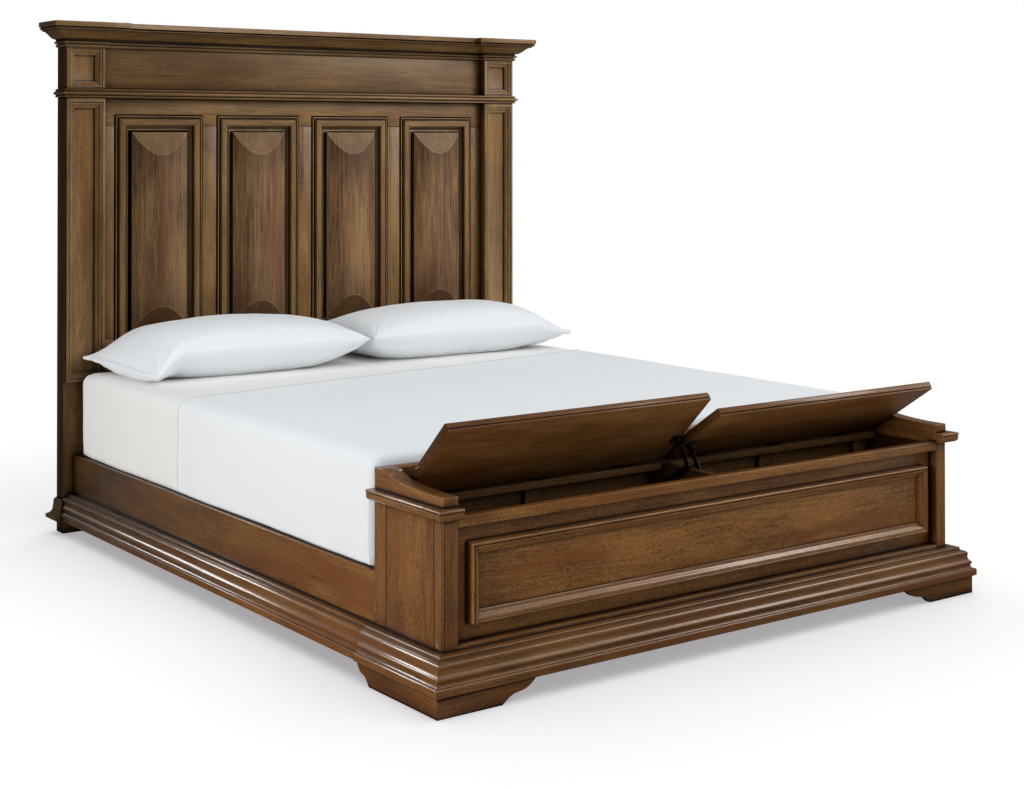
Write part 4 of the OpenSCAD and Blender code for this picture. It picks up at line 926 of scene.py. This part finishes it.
def pillow(side, node, hem_front, hem_back, askew, seed):
    """A filled pillow in its case, whose open end lies towards the side of the bed."""
    low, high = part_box(node)
    middle = (low + high) / 2
    half = (high - low) / 2
    bpy.ops.object.select_all(action="DESELECT")
    bpy.ops.mesh.primitive_grid_add(x_subdivisions=124, y_subdivisions=68, size=2)
    piece = bpy.context.object
    piece.name = node + "_in_case"
    edit(piece)
    bpy.ops.mesh.extrude_region_move(TRANSFORM_OT_translate={"value": (0, 0, 0.01)})
    bpy.ops.mesh.select_all(action="SELECT")
    bpy.ops.mesh.normals_make_consistent(inside=False)
    done()
    for vertex in piece.data.vertices:
        u = math.sin(-side * vertex.co.x * math.pi / 2)
        v = math.sin(vertex.co.y * math.pi / 2)
        x, y, z = pillow_place(u, v, vertex.co.z > 0.005, high.z - low.z + 0.008, hem_front,
            hem_back, askew)
        stretch = 1.03 if u < 0 else 1.0
        vertex.co = Vector((middle.x - side * x * half.x * stretch, middle.y + y * half.y, low.z + z))
    piece.data.update()

    def creased(p, normal):
        u, v = -side * (p.x - middle.x) / half.x, (p.y - middle.y) / half.y
        at_seam = math.exp(-(1 - min(1, abs(v))) * half.y / 0.035)
        pleat = noise.noise(Vector((p.x / 0.011, p.z / 0.09, seed)))
        lift = 0.0012 * at_seam * pleat + 0.004 * wave(p, 0.21, seed) + 0.0016 * wave(p, 0.07, seed)
        for corner_u, corner_v in ((0.97, -0.93), (0.97, 0.93), (-0.86, -0.97), (-0.86, 0.97)):
            away = Vector(((u - corner_u) * half.x, (v - corner_v) * half.y))
            turn = math.atan2(away.y, away.x)
            fold = noise.noise(Vector((turn * 3.2, corner_u * 5, seed + corner_v)))
            reach = away.length
            lift += 0.011 * fold * (reach / 0.05) * math.exp(-reach / 0.05)
        if p.z < low.z + 0.004:
            lift = 0
        return normal * lift

    moved(piece, creased)
    settled(piece, 2.5, 14, 0.006)
    for vertex in piece.data.vertices:
        vertex.co.z = max(low.z, vertex.co.z)
    smooth = piece.modifiers.new("fine cloth", "SUBSURF")
    smooth.levels = smooth.render_levels = 1
    finished(piece, smooth)
    only(piece)
    bpy.ops.object.shade_smooth()
    given(piece, pillow_cotton, "bed", "white_cotton", node)
    bedding.objects.link(piece)


mattress = fitted_mattress()
top_sheet_over(mattress)
pillow(-1, "pillow_left", 0.024, 0.056, 0.14, 4.0)
pillow(1, "pillow_right", 0.068, 0.050, 0.0, 9.0)


# Floor, light and surroundings
ground = bpy.data.collections.new("ground")


def studio_floor():
    bpy.ops.object.select_all(action="DESELECT")
    bpy.ops.mesh.primitive_plane_add(size=40, location=(0, 0, 0))
    floor = bpy.context.object
    floor.name = "floor"
    material, tree, shader = new_material("studio floor")
    tree.nodes.remove(shader)
    end = tree.nodes["Material Output"]
    matt = added(tree, "ShaderNodeBsdfDiffuse")
    glow = added(tree, "ShaderNodeEmission")
    path = added(tree, "ShaderNodeLightPath")
    seen = path.outputs["Is Camera Ray"]
    tone = mixed(tree, path.outputs["Is Glossy Ray"], (0.72, 0.72, 0.73), (0.12, 0.12, 0.12))
    joined(tree, mixed(tree, seen, tone, (0.745, 0.755, 0.745)), matt.inputs["Color"])
    glow.inputs["Color"].default_value = (1.0, 0.965, 0.99, 1)
    joined(tree, maths(tree, "MULTIPLY", seen, 0.37), glow.inputs["Strength"])
    both = added(tree, "ShaderNodeAddShader")
    joined(tree, matt.outputs[0], both.inputs[0])
    joined(tree, glow.outputs[0], both.inputs[1])
    white = added(tree, "ShaderNodeEmission")
    white.inputs["Strength"].default_value = 1.0
    where = added(tree, "ShaderNodeTexCoord")
    far = added(tree, "ShaderNodeVectorMath", operation="LENGTH")
    joined(tree, where.outputs["Object"], far.inputs[0])
    fade = spread(tree, far.outputs["Value"], 2.2, 3.4)
    fade = maths(tree, "MULTIPLY", fade, seen)
    blend = added(tree, "ShaderNodeMixShader")
    joined(tree, fade, blend.inputs[0])
    joined(tree, both.outputs[0], blend.inputs[1])
    joined(tree, white.outputs[0], blend.inputs[2])
    joined(tree, blend.outputs[0], end.inputs["Surface"])
    floor.data.materials.append(material)
    ground.objects.link(floor)


def surroundings():
    world = bpy.data.worlds.new("studio")
    world.use_nodes = True
    scene.world = world
    tree = world.node_tree
    back = tree.nodes["Background"]
    path = added(tree, "ShaderNodeLightPath")
    where = added(tree, "ShaderNodeTexCoord")
    side = added(tree, "ShaderNodeSeparateXYZ")
    joined(tree, where.outputs["Generated"], side.inputs[0])
    level = spread(tree, side.outputs[0], -0.8, 0.8, 0.16, 0.52)
    level = maths(tree, "MULTIPLY", level, maths(tree, "MULTIPLY_ADD", path.outputs["Is Glossy Ray"], -0.66, 1.0))
    level = maths(tree, "MAXIMUM", level, path.outputs["Is Camera Ray"])
    back.inputs["Color"].default_value = (1, 1, 1, 1)
    joined(tree, level, back.inputs["Strength"])


def softbox(name, place, aim, size, power, spread_angle=180, lights=None, shine_only=False,
        tint=(1, 1, 1)):
    lamp = bpy.data.lights.new(name, "AREA")
    lamp.shape = "RECTANGLE"
    lamp.size, lamp.size_y = size
    lamp.energy = power
    lamp.color = tint
    lamp.spread = math.radians(spread_angle)
    light = bpy.data.objects.new(name, lamp)
    light.location = place
    light.rotation_euler = (Vector(aim) - Vector(place)).to_track_quat("-Z", "Y").to_euler()
    light.visible_camera = False
    light.visible_diffuse = not shine_only
    light.light_linking.receiver_collection = lights or whole_bed
    scene.collection.objects.link(light)


studio_floor()
surroundings()
whole_bed = bpy.data.collections.new("whole_bed")
for piece in list(scene.collection.all_objects):
    if piece.type == "MESH" and piece.name != "floor":
        whole_bed.objects.link(piece)
softbox("right key", (3.6, -2.7, 3.4), (0, 0.2, 0.7), (1.6, 1.6), 66)
softbox("right strip", (4.4, -1.9, 1.5), (0, 1.2, 1.2), (1.8, 2.0), 8, spread_angle=90)
softbox("front fill", (0.2, -6.8, 3.0), (0, 0, 0.7), (3.0, 2.0), 26, tint=(1.0, 0.96, 0.88))
softbox("left foot", (-4.4, -1.6, 1.2), (-1, -0.9, 0.3), (1.0, 1.0), 12, spread_angle=60, lights=foot_end)
softbox("overhead", (0.3, 0.4, 5.2), (0, -0.2, 0.4), (3.2, 3.2), 34)
softbox("rim", (-2.5, 3.2, 2.3), (-1.0, -1.0, 0.2), (1.3, 1.5), 120, lights=foot_end, shine_only=True)
softbox("front shine", (2.7, -2.6, 3.6), (0, -1.2, 0.2), (4.0, 2.2), 60, lights=foot_end, shine_only=True,
    tint=(1.0, 0.93, 0.76))
softbox("headboard light", (6.2, -3.6, 5.0), (0, 1.2, 1.2), (1.7, 1.7), 56, spread_angle=80, lights=head_end)
softbox("bedding side", (-4.4, -0.6, 1.3), (-1, 0.3, 0.5), (2.4, 1.2), 80, lights=bedding, tint=(1.0, 0.985, 0.96))
softbox("bedding top", (-0.8, -1.2, 4.4), (0, 0.2, 0.5), (2.4, 2.4), 33, lights=bedding, tint=(0.80, 0.93, 1.0))
softbox("floor light", (0, -0.3, 6.0), (0, -0.3, 0), (12.0, 12.0), 476, lights=ground)
scene.view_settings.view_transform = "Standard"
